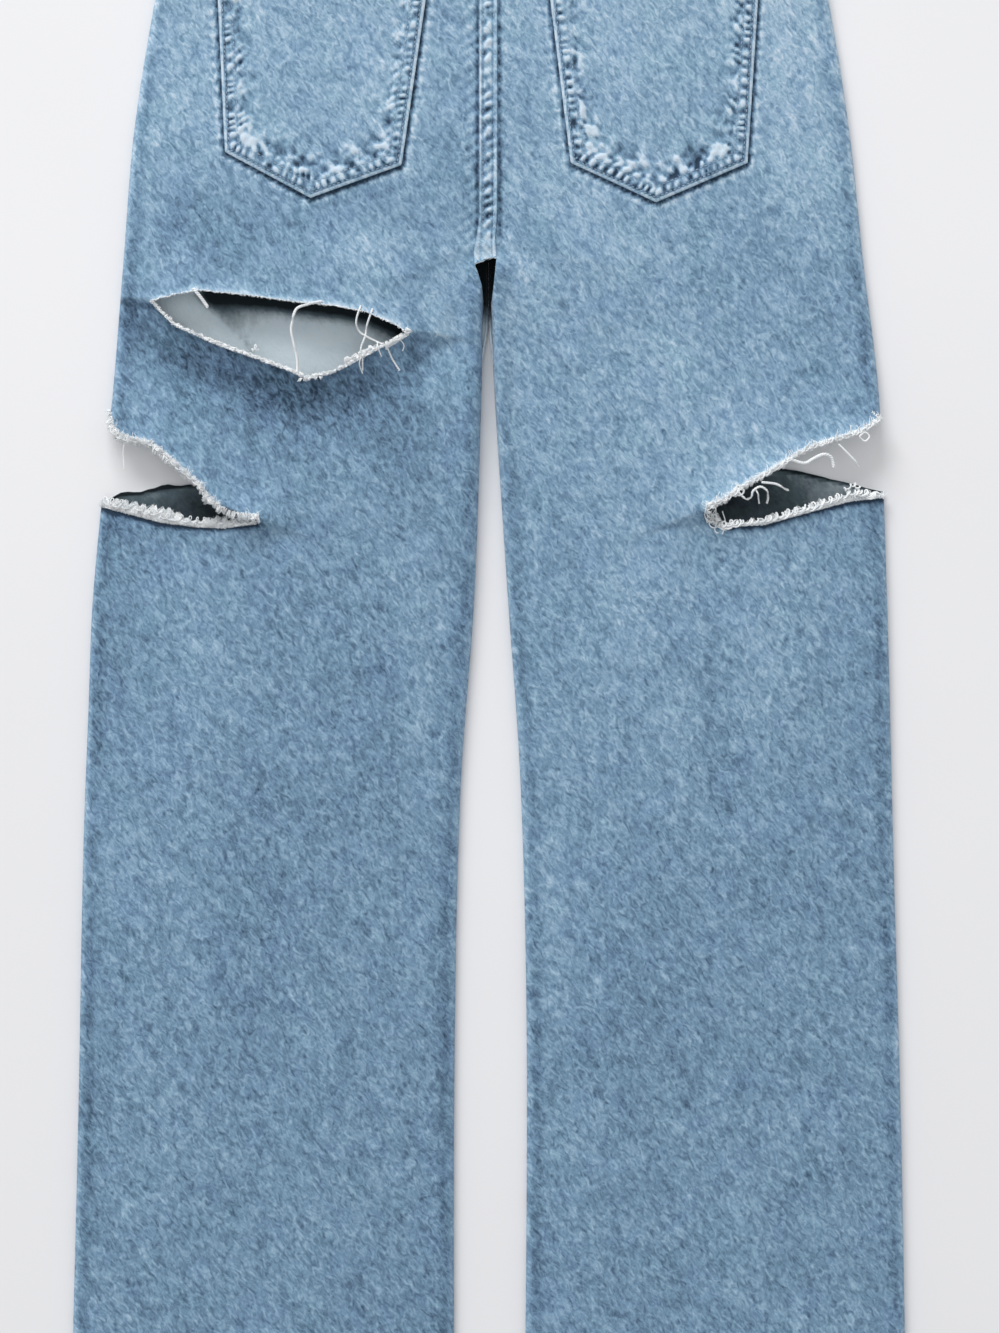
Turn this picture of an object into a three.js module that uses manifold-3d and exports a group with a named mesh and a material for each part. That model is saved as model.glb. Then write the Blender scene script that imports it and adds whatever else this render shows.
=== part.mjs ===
// Wide-leg jeans with ripped thigh and knees, lying flat and face down on the surface z = 0.
// Millimetres, +Z up, +Y towards the waist, the wearer's left at -X. Heights along the garment
// count from the crotch, levels count up from the surface, and reach counts out from the
// centre line. Every panel is a wall of cloth between an outer and an inner grid of points.

import * as THREE from 'three';
import { mergeVertices } from 'three/addons/utils/BufferGeometryUtils.js';
import Module from 'manifold-3d';

const wasm = await Module();
wasm.setup();
const { smoothstep } = THREE.MathUtils;

// ---------------------------------------------------------------- driving dimensions

const INSEAM = 800; // crotch to hem
const RISE = 330; // crotch to the top of the back waistband
const BAND_HEIGHT = 40;
const BAND_FOOT = RISE - BAND_HEIGHT;
const BAND_MIDDLE = RISE - BAND_HEIGHT / 2;
const FRONT_DIP = 28; // the front waistline's drop below the back one at the centre
const CENTRE = (RISE - INSEAM) / 2; // height that lies at y = 0

const CLOTH = 1.3;
const HEM = 12; // height of the turned hem
const HEM_CLOTH = 2;
const BAND_CLOTH = 2.6;
const BAND_PROUD = 0.6; // the waistband stands this far out of the panels
const GAP = 0.3; // between neighbours

const LIFT = 3.7; // the button and the front loops hold the front waistband up by this
const SEAM_LEVEL = 3; // side seams and inseams over the underside
const EDGE_SHAPE = 1.3; // width of a panel's rolled edge for each millimetre of its height
const INNER_ROLL = 12; // the inner edge is rolled as if it stood no higher than this

// Reach of the outer and inner edges of each leg, by height.
const LEFT = {
  name: 'left',
  side: -1,
  outer: through([[-800, 284], [-580, 279.5], [-400, 277], [-222, 270.5], [-87, 257], [3, 249.5],
    [92, 242], [182, 229], [240, 214.5], [290, 199.5], [330, 190]]),
  inner: through([[-800, 23.5], [-535, 23], [-356, 19], [-222, 9.5], [-87, 4.8], [-20, 3.2], [-4, 0.15],
    [5, 0.15]]),
};
const RIGHT = {
  name: 'right',
  side: 1,
  outer: through([[-800, 284], [-580, 280], [-400, 275], [-222, 270.5], [-87, 265], [3, 254.5],
    [92, 245], [182, 230.5], [240, 215], [290, 199.5], [330, 190]]),
  inner: through([[-800, 24.5], [-535, 26], [-356, 22], [-222, 13], [-87, 4.2], [-20, 1.5], [-4, 0.15],
    [5, 0.15]]),
};

// Levels of the back over the underside, by height: at its rolled outer edge, at its inner
// edge, and the crown that it stands above both in the middle.
const OUTER_RIM = through([[-800, 6.2], [-300, 6.8], [0, 7.4], [330, 8]]);
const INNER_RIM = through([[-800, 6.2], [-400, 7.4], [-60, 12], [0, 15], [150, 15], [290, 11.6],
  [330, 11]]);
const CROWN = through([[-800, 3.4], [-400, 5.6], [-100, 5], [0, 3], [150, 2.5], [330, 1]]);
const SPLIT = [-4, 10]; // the inner edges turn down from the seat to the inseams between these

// Folds of the back: soft ridges, or troughs where rise is negative.
const FOLDS = [
  { from: [164, -182], to: [212, -290], width: 9, rise: 2.2 },
  { from: [150, -200], to: [158, -360], width: 20, rise: -1.8 },
  { from: [-183, -185], to: [-186, -330], width: 22, rise: 1.4 },
  { from: [-225, -60], to: [-60, -100], width: 26, rise: -2.4 },
  { from: [-200, 8], to: [-80, 0], width: 20, rise: 1.6 },
  { from: [42, -390], to: [46, -500], width: 14, rise: 1.2 },
  { from: [-110, -560], to: [-130, -720], width: 30, rise: 1.2 },
  { from: [120, -560], to: [150, -700], width: 30, rise: -1 },
];

// Rips in the back, as [x, height]: one across the left thigh, one through each side.
const THIGH_RIP = [
  [-228, -22], [-213, -16], [-196, -13], [-167, -17], [-131, -22], [-103, -25], [-82, -29], [-62, -39],
  [-54, -46], [-72, -55], [-94, -67], [-107, -73], [-123, -76], [-134, -71], [-161, -61], [-186, -52],
  [-212, -40],
];
const LEFT_BACK_RIP = [
  [-300, -106], [-256, -107], [-249, -116], [-228, -121], [-211, -135], [-194, -150], [-188, -159],
  [-175, -168], [-155, -171], [-157, -174], [-197, -176], [-221, -173], [-240, -168], [-262, -162],
  [-300, -160],
];
const RIGHT_BACK_RIP = [
  [300, -100], [269, -101], [252, -112], [224, -121], [211, -126], [196, -136], [173, -149], [158, -159],
  [147, -163], [149, -171], [164, -176], [186, -175], [211, -167], [244, -159], [269, -156], [300, -156],
];
// The front is torn through at each side too.
const LEFT_FRONT_RIP = [
  [-300, -98], [-252, -100], [-226, -112], [-200, -134], [-188, -149], [-225, -150], [-262, -149],
  [-300, -149],
];
const RIGHT_FRONT_RIP = [
  [300, -92], [264, -94], [230, -108], [202, -125], [193, -135], [211, -138], [244, -145], [268, -152],
  [300, -152],
];

// The yoke's lower seam as [reach, height], from past the centre back to past the side.
const YOKE_SEAM = [[-9, 222], [260, 252]];
// A back pocket as [reach, height]: top, outer edge, point, inner edge.
const POCKET = [[38, 208], [184.5, 214], [180, 80], [119.5, 48], [60, 70]];

const SCOOP = [84, 74]; // width and height of the front pocket's opening, from the waist corner
const FACING_UNDER = 24; // the facing runs this far on under the front

const FLY_FOOT = 120;
const ZIP = { width: 24, cloth: 1, slider: [9, 12, 2] };
const ZIP_DROP = 2; // of the tape under the waistband, and of the slider on the tape
const SHIELD = { from: -10, to: 32, below: 6 };

const BAND_END = 12; // x of the waistband's outer end
const BAND_TONGUE = -30; // x of its inner end
const BAND_STEP = [45, 18]; // it steps in under the outer end between these
const BUTTON = { x: -4, cap: 8.5, capDepth: 2.4, shank: 2, bevel: [1, 0.8] };
const BUTTONHOLE = [17, 5];

const LOOP = { width: 11, cloth: 1.6, stand: 1.5, foot: 8, bend: 2, below: 12, above: 38 };
const BACK_LOOP_X = [-128, 0, 128];
const FRONT_LOOP_X = [-98, 98];

const FAR = 900; // cutting shapes run out past every edge to this
const ALL_LEVELS = [-10, 40];

const DENIM = { color: 0x7f9db6, roughness: 0.92, metalness: 0 };
const METAL = { color: 0xb9b6ae, roughness: 0.38, metalness: 1 };

// ---------------------------------------------------------------- numbers and curves

// A smooth curve through [position, value] pairs, held level past its ends.
function through(pairs) {
  const last = pairs.length - 1;
  const slopes = pairs.map((_, i) => {
    const before = pairs[Math.max(i - 1, 0)];
    const after = pairs[Math.min(i + 1, last)];
    return (after[1] - before[1]) / (after[0] - before[0]);
  });
  return (position) => {
    const at = THREE.MathUtils.clamp(position, pairs[0][0], pairs[last][0]);
    const i = Math.min(pairs.filter((pair) => pair[0] <= at).length - 1, last - 1);
    const span = pairs[i + 1][0] - pairs[i][0];
    const t = (at - pairs[i][0]) / span;
    return pairs[i][1] * (1 + 2 * t) * (1 - t) ** 2 + slopes[i] * span * t * (1 - t) ** 2
      + pairs[i + 1][1] * t * t * (3 - 2 * t) + slopes[i + 1] * span * t * t * (t - 1);
  };
}

function steps(from, to, count) {
  return Array.from({ length: count + 1 }, (_, i) => from + ((to - from) * i) / count);
}

// How far the underside is held off the surface.
function lift(height) {
  return LIFT * smoothstep(height, 150, 240);
}

// How far the front waistline drops, by x.
function dip(x) {
  return FRONT_DIP * Math.max(1 - (x / LEFT.outer(BAND_FOOT)) ** 2, 0);
}

function split(height) {
  return 1 - smoothstep(height, ...SPLIT);
}

function folds(x, height) {
  const point = new THREE.Vector3(x, height, 0);
  const nearest = new THREE.Vector3();
  return FOLDS.reduce((sum, { from, to, width, rise }) => {
    const line = new THREE.Line3(new THREE.Vector3(...from, 0), new THREE.Vector3(...to, 0));
    const away = line.closestPointToPoint(point, true, nearest).distanceTo(point);
    return sum + rise * Math.exp(-((away / width) ** 2));
  }, 0);
}

// The back's outer level away from its rolled edges.
function backLevel(leg, reach, height) {
  const outer = leg.outer(height);
  const across = (outer - reach) / (outer - leg.inner(height));
  const rim = OUTER_RIM(height);
  const rise = (INNER_RIM(height) - rim) * Math.sin((across * Math.PI) / 2);
  const crown = CROWN(height) * 4 * across * (1 - across);
  return lift(height) + rim + rise + crown + folds(leg.side * reach, height) * 4 * across * (1 - across);
}

// ---------------------------------------------------------------- sections across a leg

const ROLL = steps(0, Math.PI / 2, 3);
const BACK_STEPS = 8; // across the back between its rolled edges
const CURVE_STEPS = 8;

// [reach, level] along the back's outer face, from the side seam to the inner edge.
function backSection(leg, height, inner = leg.inner(height)) {
  const outer = leg.outer(height);
  const seam = lift(height) + SEAM_LEVEL + GAP;
  const widthAt = (rim) => EDGE_SHAPE * (lift(height) + rim - seam);
  const outerWidth = widthAt(OUTER_RIM(height));
  const innerWidth = widthAt(Math.min(INNER_RIM(height), INNER_ROLL));
  const outerRoll = ROLL.map((turn) => {
    const reach = outer - outerWidth * (1 - Math.cos(turn));
    return [reach, seam + (backLevel(leg, reach, height) - seam) * Math.sin(turn)];
  });
  const middle = steps(outer - outerWidth, inner + innerWidth, BACK_STEPS).slice(1, -1)
    .map((reach) => [reach, backLevel(leg, reach, height)]);
  const innerRoll = ROLL.toReversed().map((turn) => {
    const reach = inner + innerWidth * (1 - Math.cos(turn));
    const level = backLevel(leg, reach, height);
    return [reach, level - (level - seam) * (1 - Math.sin(turn)) * split(height)];
  });
  return [...outerRoll, ...middle, ...innerRoll];
}

// The same along the front's outer face, which is the garment's underside.
function frontSection(leg, height) {
  const outer = leg.outer(height);
  const inner = leg.inner(height);
  const foot = lift(height);
  const rolled = (turn, share) => foot + SEAM_LEVEL * (1 - Math.sin(turn)) * share;
  const outerRoll = ROLL.map((turn) => [outer - SEAM_LEVEL * (1 - Math.cos(turn)), rolled(turn, 1)]);
  const innerRoll = ROLL.toReversed()
    .map((turn) => [inner + SEAM_LEVEL * (1 - Math.cos(turn)), rolled(turn, split(height))]);
  return [...outerRoll, [(outer + inner) / 2, foot], ...innerRoll];
}

// ---------------------------------------------------------------- solids

// The direction of a row of points at one of them.
function direction(points, i) {
  const last = points.length - 1;
  const between = (a, b) => points[b].clone().sub(points[a]);
  if (i > 0 && i < last) return between(i - 1, i + 1);
  if (last < 2) return between(0, last);
  const [near, far] = i === 0
    ? [between(0, 1), between(0, 2)]
    : [between(last - 1, last), between(last - 2, last)];
  return near.multiplyScalar(4).sub(far);
}

// The unit normals of a grid of points.
function normals(grid) {
  return grid.map((row, i) => row.map((_, j) => {
    const along = direction(grid.map((other) => other[j]), i);
    return direction(row, j).cross(along).normalize();
  }));
}

// A grid moved out along its normals, by a distance for each row.
function moved(grid, distance) {
  const normal = normals(grid);
  return grid.map((row, i) => row
    .map((point, j) => point.clone().addScaledVector(normal[i][j], distance(i))));
}

// The closed wall between two grids of the same size.
function wall(outer, inner) {
  const rows = outer.length;
  const columns = outer[0].length;
  const positions = [...outer, ...inner].flat().flatMap((point) => point.toArray());
  const last = columns - 1;
  const at = (face, i, j) => (face * rows + i) * columns + j;
  const index = [];
  const quad = (a, b, c, d) => index.push(a, b, c, a, c, d);
  for (let i = 0; i < rows - 1; i += 1) {
    for (let j = 0; j < last; j += 1) {
      quad(at(0, i, j), at(0, i, j + 1), at(0, i + 1, j + 1), at(0, i + 1, j));
      quad(at(1, i, j), at(1, i + 1, j), at(1, i + 1, j + 1), at(1, i, j + 1));
    }
    quad(at(0, i, 0), at(0, i + 1, 0), at(1, i + 1, 0), at(1, i, 0));
    quad(at(0, i + 1, last), at(0, i, last), at(1, i, last), at(1, i + 1, last));
  }
  for (let j = 0; j < last; j += 1) {
    quad(at(0, 0, j + 1), at(0, 0, j), at(1, 0, j), at(1, 0, j + 1));
    quad(at(0, rows - 1, j), at(0, rows - 1, j + 1), at(1, rows - 1, j + 1), at(1, rows - 1, j));
  }
  const geometry = new THREE.BufferGeometry();
  geometry.setAttribute('position', new THREE.Float32BufferAttribute(positions, 3));
  geometry.setIndex(index);
  return geometry;
}

function solid(geometry) {
  const bare = geometry.clone();
  bare.deleteAttribute('normal');
  bare.deleteAttribute('uv');
  const merged = mergeVertices(bare, 1e-4);
  return new wasm.Manifold(new wasm.Mesh({
    numProp: 3,
    vertProperties: merged.attributes.position.array,
    triVerts: Uint32Array.from(merged.index.array),
  }));
}

// An upright prism on an outline of [x, height] points.
function prism(outline, [from, to] = ALL_LEVELS) {
  const shape = new THREE.Shape(outline.map(([x, height]) => new THREE.Vector2(x, height - CENTRE)));
  const geometry = new THREE.ExtrudeGeometry(shape, { depth: to - from, bevelEnabled: false });
  return solid(geometry.translate(0, 0, from));
}

function mesh(name, shape, look = DENIM) {
  let geometry = shape;
  if (!shape.isBufferGeometry) {
    const { vertProperties, triVerts } = shape.getMesh();
    geometry = new THREE.BufferGeometry();
    geometry.setAttribute('position', new THREE.Float32BufferAttribute(vertProperties, 3));
    geometry.setIndex([...triVerts]);
  }
  geometry.computeVertexNormals();
  const made = new THREE.Mesh(geometry, new THREE.MeshStandardMaterial(look));
  made.name = name;
  return made;
}

// ---------------------------------------------------------------- panels

// Heights of the rows of points that panels are made from.
const LEG_ROWS = [-INSEAM, HEM - INSEAM, HEM - INSEAM + 1, ...steps(-745, -40, 15)];
const SEAT_ROWS = [-18, -8, -3, 1, 5, 10, 30, 65, 105, 145, 170, 195, 220, 245, BAND_FOOT];
const ROWS = [...LEG_ROWS, ...SEAT_ROWS];

// How thick the cloth is at a row.
function thickness(row) {
  return ROWS[row] > HEM - INSEAM ? CLOTH : HEM_CLOTH;
}

// Rows of points on one face of a leg, ordered so that the normals of both legs point out.
function grid(leg, section, outward) {
  const rows = ROWS.map((height) => section(leg, height)
    .map(([reach, level]) => new THREE.Vector3(leg.side * reach, height - CENTRE, level)));
  return leg.side * outward > 0 ? rows.map((row) => row.toReversed()) : rows;
}

// An upright prism on an outline of [reach, height] points, on a leg's side.
function sidePrism(leg, points) {
  return prism(points.map(([reach, height]) => [leg.side * reach, height]));
}

function backParts(leg, rips) {
  const outer = grid(leg, backSection, 1);
  const shell = solid(wall(outer, moved(outer, (row) => -thickness(row))));
  const panelTop = YOKE_SEAM.map(([reach, height]) => [reach, height - GAP]);
  const under = sidePrism(leg, [...panelTop, [FAR, -FAR], [YOKE_SEAM[0][0], -FAR]]);
  const above = sidePrism(leg, [...YOKE_SEAM, [FAR, FAR], [YOKE_SEAM[0][0], FAR]]);
  const panel = rips.reduce((cut, rip) => cut.subtract(prism(rip)), shell.intersect(under));
  const layer = solid(wall(moved(outer, () => GAP + CLOTH), moved(outer, () => GAP)));
  return [
    mesh(`back_${leg.name}`, panel),
    mesh(`yoke_${leg.name}`, shell.intersect(above)),
    mesh(`back_pocket_${leg.name}`, layer.intersect(sidePrism(leg, POCKET))),
  ];
}

// Everything below the front waistline, on both sides.
function underWaistline() {
  const half = LEFT.outer(BAND_FOOT);
  const line = steps(-half, half, 2 * CURVE_STEPS).map((x) => [x, BAND_FOOT - dip(x)]);
  return prism([[-FAR, BAND_FOOT], ...line, [FAR, BAND_FOOT], [FAR, -FAR], [-FAR, -FAR]]);
}

// The corner of a front that the pocket opening takes away, grown by a margin.
function scoop(leg, margin) {
  const corner = leg.outer(BAND_FOOT);
  const [width, height] = SCOOP.map((size) => size + margin);
  const curve = steps(0, Math.PI / 2, CURVE_STEPS)
    .map((turn) => [corner - width * Math.cos(turn), BAND_FOOT - height * Math.sin(turn)]);
  return sidePrism(leg, [[corner - width, FAR], ...curve, [FAR, BAND_FOOT - height], [FAR, FAR]]);
}

function frontParts(leg, rip, waistline) {
  const outer = grid(leg, frontSection, -1);
  const shell = solid(wall(outer, moved(outer, (row) => -thickness(row)))).intersect(waistline);
  const layer = solid(wall(moved(outer, () => -CLOTH - GAP), moved(outer, () => -2 * CLOTH - GAP)));
  return [
    mesh(`front_${leg.name}`, shell.subtract(prism(rip)).subtract(scoop(leg, 0))),
    mesh(`pocket_facing_${leg.name}`, layer.intersect(waistline).intersect(scoop(leg, FACING_UNDER))),
  ];
}

// ---------------------------------------------------------------- fly

// A flat strip that follows the fronts, from one level over them to another.
function flyStrip(name, [left, right], [foot, top], [under, over], look) {
  const face = (level) => steps(foot, top, CURVE_STEPS).map((height) => [left, right]
    .map((x) => new THREE.Vector3(x, height - CENTRE, lift(height) + level)));
  return mesh(name, wall(face(over), face(under)), look);
}

function flyParts() {
  const top = BAND_FOOT - FRONT_DIP - ZIP_DROP;
  const [sliderWidth, sliderLength, sliderDepth] = ZIP.slider;
  const slider = CLOTH + GAP;
  const tape = slider + sliderDepth + GAP;
  const shield = tape + ZIP.cloth + GAP;
  const half = ZIP.width / 2;
  return [
    flyStrip('zip_slider', [-sliderWidth / 2, sliderWidth / 2],
      [top - ZIP_DROP - sliderLength, top - ZIP_DROP], [slider, slider + sliderDepth], METAL),
    flyStrip('zip_tape', [-half, half], [FLY_FOOT, top], [tape, tape + ZIP.cloth]),
    flyStrip('fly_shield', [SHIELD.from, SHIELD.to], [FLY_FOOT - SHIELD.below, top],
      [shield, shield + CLOTH]),
  ];
}

// ---------------------------------------------------------------- waistband

// [x, level, isFront] along the waistband's path at a height: from its outer end at the centre
// front, round the left side, across the back, round the right side and in under the outer end.
function bandPath(height) {
  const front = (from, to, count) => steps(from, to, count).map((x) => [x, LIFT, true]);
  const half = (leg) => {
    const reach = leg.outer(height);
    const turn = ROLL.toReversed().map((angle) => {
      const x = leg.side * (reach - SEAM_LEVEL * (1 - Math.cos(angle)));
      return [x, LIFT + SEAM_LEVEL * (1 - Math.sin(angle)), true];
    });
    const back = backSection(leg, height, 0).slice(1)
      .map(([along, level]) => [leg.side * along, level, false]);
    return [...turn, ...back];
  };
  const flat = LEFT.outer(height) - SEAM_LEVEL;
  const tongue = steps(BAND_STEP[1], BAND_TONGUE, CURVE_STEPS / 2)
    .map((x) => [x, LIFT + BAND_CLOTH + GAP, true]);
  return [
    ...front(BAND_END, -flat, CURVE_STEPS).slice(0, -1),
    ...half(LEFT),
    ...half(RIGHT).toReversed().slice(1),
    ...front(flat, BAND_STEP[0], CURVE_STEPS).slice(1),
    ...tongue,
  ];
}

function waistband() {
  const faces = [BAND_FOOT + GAP, RISE].map((height) => bandPath(height)
    .map(([x, level, isFront]) => new THREE.Vector3(x, height - CENTRE - (isFront ? dip(x) : 0), level)));
  const path = faces[0].map((point, i) => [faces[1][i], point]);
  const outer = moved(path, () => BAND_PROUD);
  const inner = moved(path, () => BAND_PROUD - BAND_CLOTH);
  const [length, width] = BUTTONHOLE;
  const from = BUTTON.x - width / 2;
  const to = from + length;
  const [low, high] = [BAND_MIDDLE - FRONT_DIP - width / 2, BAND_MIDDLE - FRONT_DIP + width / 2];
  const betweenLayers = LIFT - BAND_PROUD + BAND_CLOTH + GAP / 2;
  const hole = prism([[from, low], [to, low], [to, high], [from, high]], [0, betweenLayers]);
  return mesh('waistband', solid(wall(outer, inner)).subtract(hole));
}

function button() {
  const { x, cap, capDepth, shank, bevel } = BUTTON;
  const top = LIFT - BAND_PROUD + BAND_CLOTH;
  const face = [[0, 0], [cap - bevel[0], 0], [cap, bevel[1]], [cap, capDepth]];
  const profile = [...face, [shank, capDepth], [shank, top], [0, top]]
    .map(([radius, level]) => new THREE.Vector2(radius, level));
  const sides = 2 * CURVE_STEPS;
  const made = mesh('waist_button', new THREE.LatheGeometry(profile, sides).rotateX(Math.PI / 2), METAL);
  made.position.set(x, BAND_MIDDLE - FRONT_DIP - CENTRE, 0);
  return made;
}

// ---------------------------------------------------------------- belt loops

// A loop lies along +Y with its outside at +Z, and the waistband's foot at y = 0. Its level is
// counted from the waistband's outer face, whose level over its middle is given by y.
function loopGeometry(level) {
  const { width, cloth, stand, foot, bend, below, above } = LOOP;
  const panel = GAP - BAND_PROUD;
  const under = [
    [-below, panel],
    [foot - below, panel],
    [bend / 2, stand],
    [above - foot, stand],
    [above - foot + bend, GAP],
    [above, GAP],
  ].map(([y, z]) => new THREE.Vector2(y, z + level(y)));
  const over = under.map((point) => point.clone().setY(point.y + cloth)).toReversed();
  const shape = new THREE.Shape([...under, ...over]);
  const geometry = new THREE.ExtrudeGeometry(shape, { depth: width, bevelEnabled: false });
  geometry.rotateX(Math.PI / 2).rotateZ(Math.PI / 2);
  return geometry.translate(-width / 2, 0, 0);
}

// How steeply a curve rises at x, as an angle.
function slope(curve, x) {
  return Math.atan2(curve(x + 1) - curve(x - 1), 2);
}

function backLoop(name, x) {
  const leg = x > 0 ? RIGHT : LEFT;
  const level = (across, height) => backLevel(leg, Math.abs(across), height);
  const middle = level(x, BAND_MIDDLE);
  const loop = mesh(name, loopGeometry((y) => level(x, BAND_FOOT + y) - middle));
  loop.rotation.set(0, -slope((across) => level(across, BAND_MIDDLE), x), 0);
  loop.position.set(x, BAND_FOOT - CENTRE, middle + BAND_PROUD);
  return loop;
}

function frontLoop(name, x) {
  const loop = mesh(name, loopGeometry(() => 0));
  loop.rotation.set(0, Math.PI, -slope(dip, x));
  loop.position.set(x, BAND_FOOT - CENTRE - dip(x), LIFT - BAND_PROUD);
  return loop;
}

// ---------------------------------------------------------------- the garment

const waistline = underWaistline();
const jeans = new THREE.Group();
jeans.add(
  ...backParts(LEFT, [THIGH_RIP, LEFT_BACK_RIP]),
  ...backParts(RIGHT, [RIGHT_BACK_RIP]),
  ...frontParts(LEFT, LEFT_FRONT_RIP, waistline),
  ...frontParts(RIGHT, RIGHT_FRONT_RIP, waistline),
  ...flyParts(),
  waistband(),
  button(),
  ...BACK_LOOP_X.map((x, i) => backLoop(`belt_loop_${i + 1}`, x)),
  ...FRONT_LOOP_X.map((x, i) => frontLoop(`belt_loop_${BACK_LOOP_X.length + i + 1}`, x)),
);

export default jeans;
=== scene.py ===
"""Ripped wide-leg jeans, laid flat with the back up.

Shapes are worked out in millimetres, as in the part's source: x to the wearer's right from the
centre line, height up from the crotch, level up from the surface, reach out from the centre line.
"""

import math

import bpy
import numpy as np
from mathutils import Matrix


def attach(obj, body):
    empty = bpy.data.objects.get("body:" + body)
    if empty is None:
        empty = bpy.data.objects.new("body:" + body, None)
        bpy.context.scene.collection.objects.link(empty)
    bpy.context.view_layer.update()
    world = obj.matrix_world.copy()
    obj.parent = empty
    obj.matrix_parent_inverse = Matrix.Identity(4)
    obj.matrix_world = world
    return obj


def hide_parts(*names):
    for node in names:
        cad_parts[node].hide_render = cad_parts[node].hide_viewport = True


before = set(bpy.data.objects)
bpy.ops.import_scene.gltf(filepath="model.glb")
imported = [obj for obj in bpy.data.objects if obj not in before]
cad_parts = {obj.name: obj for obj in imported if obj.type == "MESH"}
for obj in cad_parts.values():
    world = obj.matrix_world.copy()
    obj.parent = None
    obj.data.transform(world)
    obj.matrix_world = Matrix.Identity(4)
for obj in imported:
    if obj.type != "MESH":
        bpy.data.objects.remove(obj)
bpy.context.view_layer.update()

MM = 0.001
INSEAM, RISE, BAND_HEIGHT = 800, 330, 40
BAND_FOOT = RISE - BAND_HEIGHT
CENTRE = (RISE - INSEAM) / 2
YOKE_FOOT = 222  # near the centre back, from where the seam rises to the sides
FRONT_DIP = 28  # the waist is this much lower at the centre front
FLY_FOOT, FLY_WIDE = 120, 36
SCOOP = (84, 74)  # width and depth of the front pockets' openings
CLOTH = 1.2
GAP = 0.3
CLEAR = 0.03  # what lies on the surface stays this far off it
LIFT = 3.7  # the front's outer face near the waist, where the waistband holds it up
SEAM_LEVEL = 3  # where the front and the back meet along the outer seam
EDGE_SHAPE = 1.3  # width of the back's rolled outer edge, against its height
FELL = 13.2  # width of the felled strip over the centre-back seam
SEAM_EDGE = 7.4  # the painted shadow line beside that strip, from the centre line
BAND_CLOTH, BAND_PROUD = 2.6, 0.6
POCKET_STAND, FACING_STAND = 1.9, 1.6  # of their outer faces, over the back's and the front's
POCKET_ROWS = (3, 9.4)  # how far inside a pocket's edge its rows of stitches run


# ---- camera

FRAME_HEIGHT = 906.4 * MM
VIEW_CENTRE = (7.5 * MM, -36 * MM)
LENS, SENSOR = 85, 36

camera = bpy.data.objects.new("camera", bpy.data.cameras.new("camera"))
camera.data.lens = LENS
camera.data.sensor_width = SENSOR
camera.data.clip_end = 50
camera.location = (*VIEW_CENTRE, FRAME_HEIGHT * LENS / SENSOR)
bpy.context.collection.objects.link(camera)
bpy.context.scene.camera = camera


# ---- curves and noise


def through(*pairs):
    """A smooth curve through (position, value) pairs, held level past its ends."""
    at, value = np.array(pairs, float).T
    slope = np.empty(len(at))
    slope[1:-1] = (value[2:] - value[:-2]) / (at[2:] - at[:-2])
    slope[0], slope[-1] = ((value[k + 1] - value[k]) / (at[k + 1] - at[k]) for k in (0, -2))

    def curve(position):
        x = np.clip(position, at[0], at[-1])
        i = np.clip(np.searchsorted(at, x, side="right") - 1, 0, len(at) - 2)
        span = at[i + 1] - at[i]
        t = (x - at[i]) / span
        near = value[i] * (1 + 2 * t) * (1 - t) ** 2 + slope[i] * span * t * (1 - t) ** 2
        return near + value[i + 1] * t * t * (3 - 2 * t) + slope[i + 1] * span * t * t * (t - 1)

    return curve


def smooth(x, low, high):
    """0 below low and 1 above high, with a soft step between them."""
    t = np.clip((np.asarray(x, float) - low) / (high - low), 0, 1)
    return t * t * (3 - 2 * t)


def noise(x, y, size, seed):
    """Smooth random values from -1 to 1 whose spots are about size across. y may be one number."""
    lattice = np.random.default_rng(seed).uniform(-1, 1, (256, 256))
    u, v = np.asarray(x, float) / size, np.asarray(y, float) / size
    i, j = np.floor(u).astype(int), np.floor(v).astype(int)
    s, t = smooth(u - i, 0, 1), smooth(v - j, 0, 1)

    def at(a, b):
        return lattice[(i + a) % 256, (j + b) % 256]

    low = at(0, 0) * (1 - s) + at(1, 0) * s
    return low * (1 - t) + (at(0, 1) * (1 - s) + at(1, 1) * s) * t


def bump(away, width):
    """1 where away is 0, falling off softly to both sides."""
    return np.exp(-((away / width) ** 2))


def ripple(place, length, drift, size, seed, along=None):
    """A wave of about the given length whose rhythm drifts along a row."""
    row = place if along is None else along
    return np.sin(2 * math.pi * place / length + drift * noise(row, 0, size, seed))


def always(value):
    return lambda x: value + 0 * x


def off_segment(x, h, a, b):
    """How far points are from a straight line from a to b, and how far along it they lie."""
    (ax, ah), (bx, bh) = a, b
    length = math.hypot(bx - ax, bh - ah)
    ux, uh = (bx - ax) / length, (bh - ah) / length
    along = np.clip((x - ax) * ux + (h - ah) * uh, 0, length)
    return np.hypot(x - ax - along * ux, h - ah - along * uh), along


def ridges(x, h, rows):
    """The sum of soft ridges along straight (from, to, width, rise) lines."""
    return sum(rise * bump(off_segment(x, h, start, end)[0], width) for start, end, width, rise in rows)


def off_outline(x, h, outline, closed=True):
    """The distance inside a closed outline, negative outside, and the place along it."""
    corners = [*outline, outline[0]] if closed else list(outline)
    best = np.full(np.shape(x), 1e9)
    place = np.zeros(np.shape(x))
    inside = np.zeros(np.shape(x), bool)
    start = 0
    for a, b in zip(corners, corners[1:]):
        away, along = off_segment(x, h, a, b)
        nearer = away < best
        best = np.where(nearer, away, best)
        place = np.where(nearer, start + along, place)
        start += math.dist(a, b)
        if a[1] != b[1]:
            line = (b[0] - a[0]) * (h - a[1]) / (b[1] - a[1]) + a[0]
            inside ^= ((a[1] > h) != (b[1] > h)) & (x < line)
    return np.where(inside, best, -best), place


# ---- the legs


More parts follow.
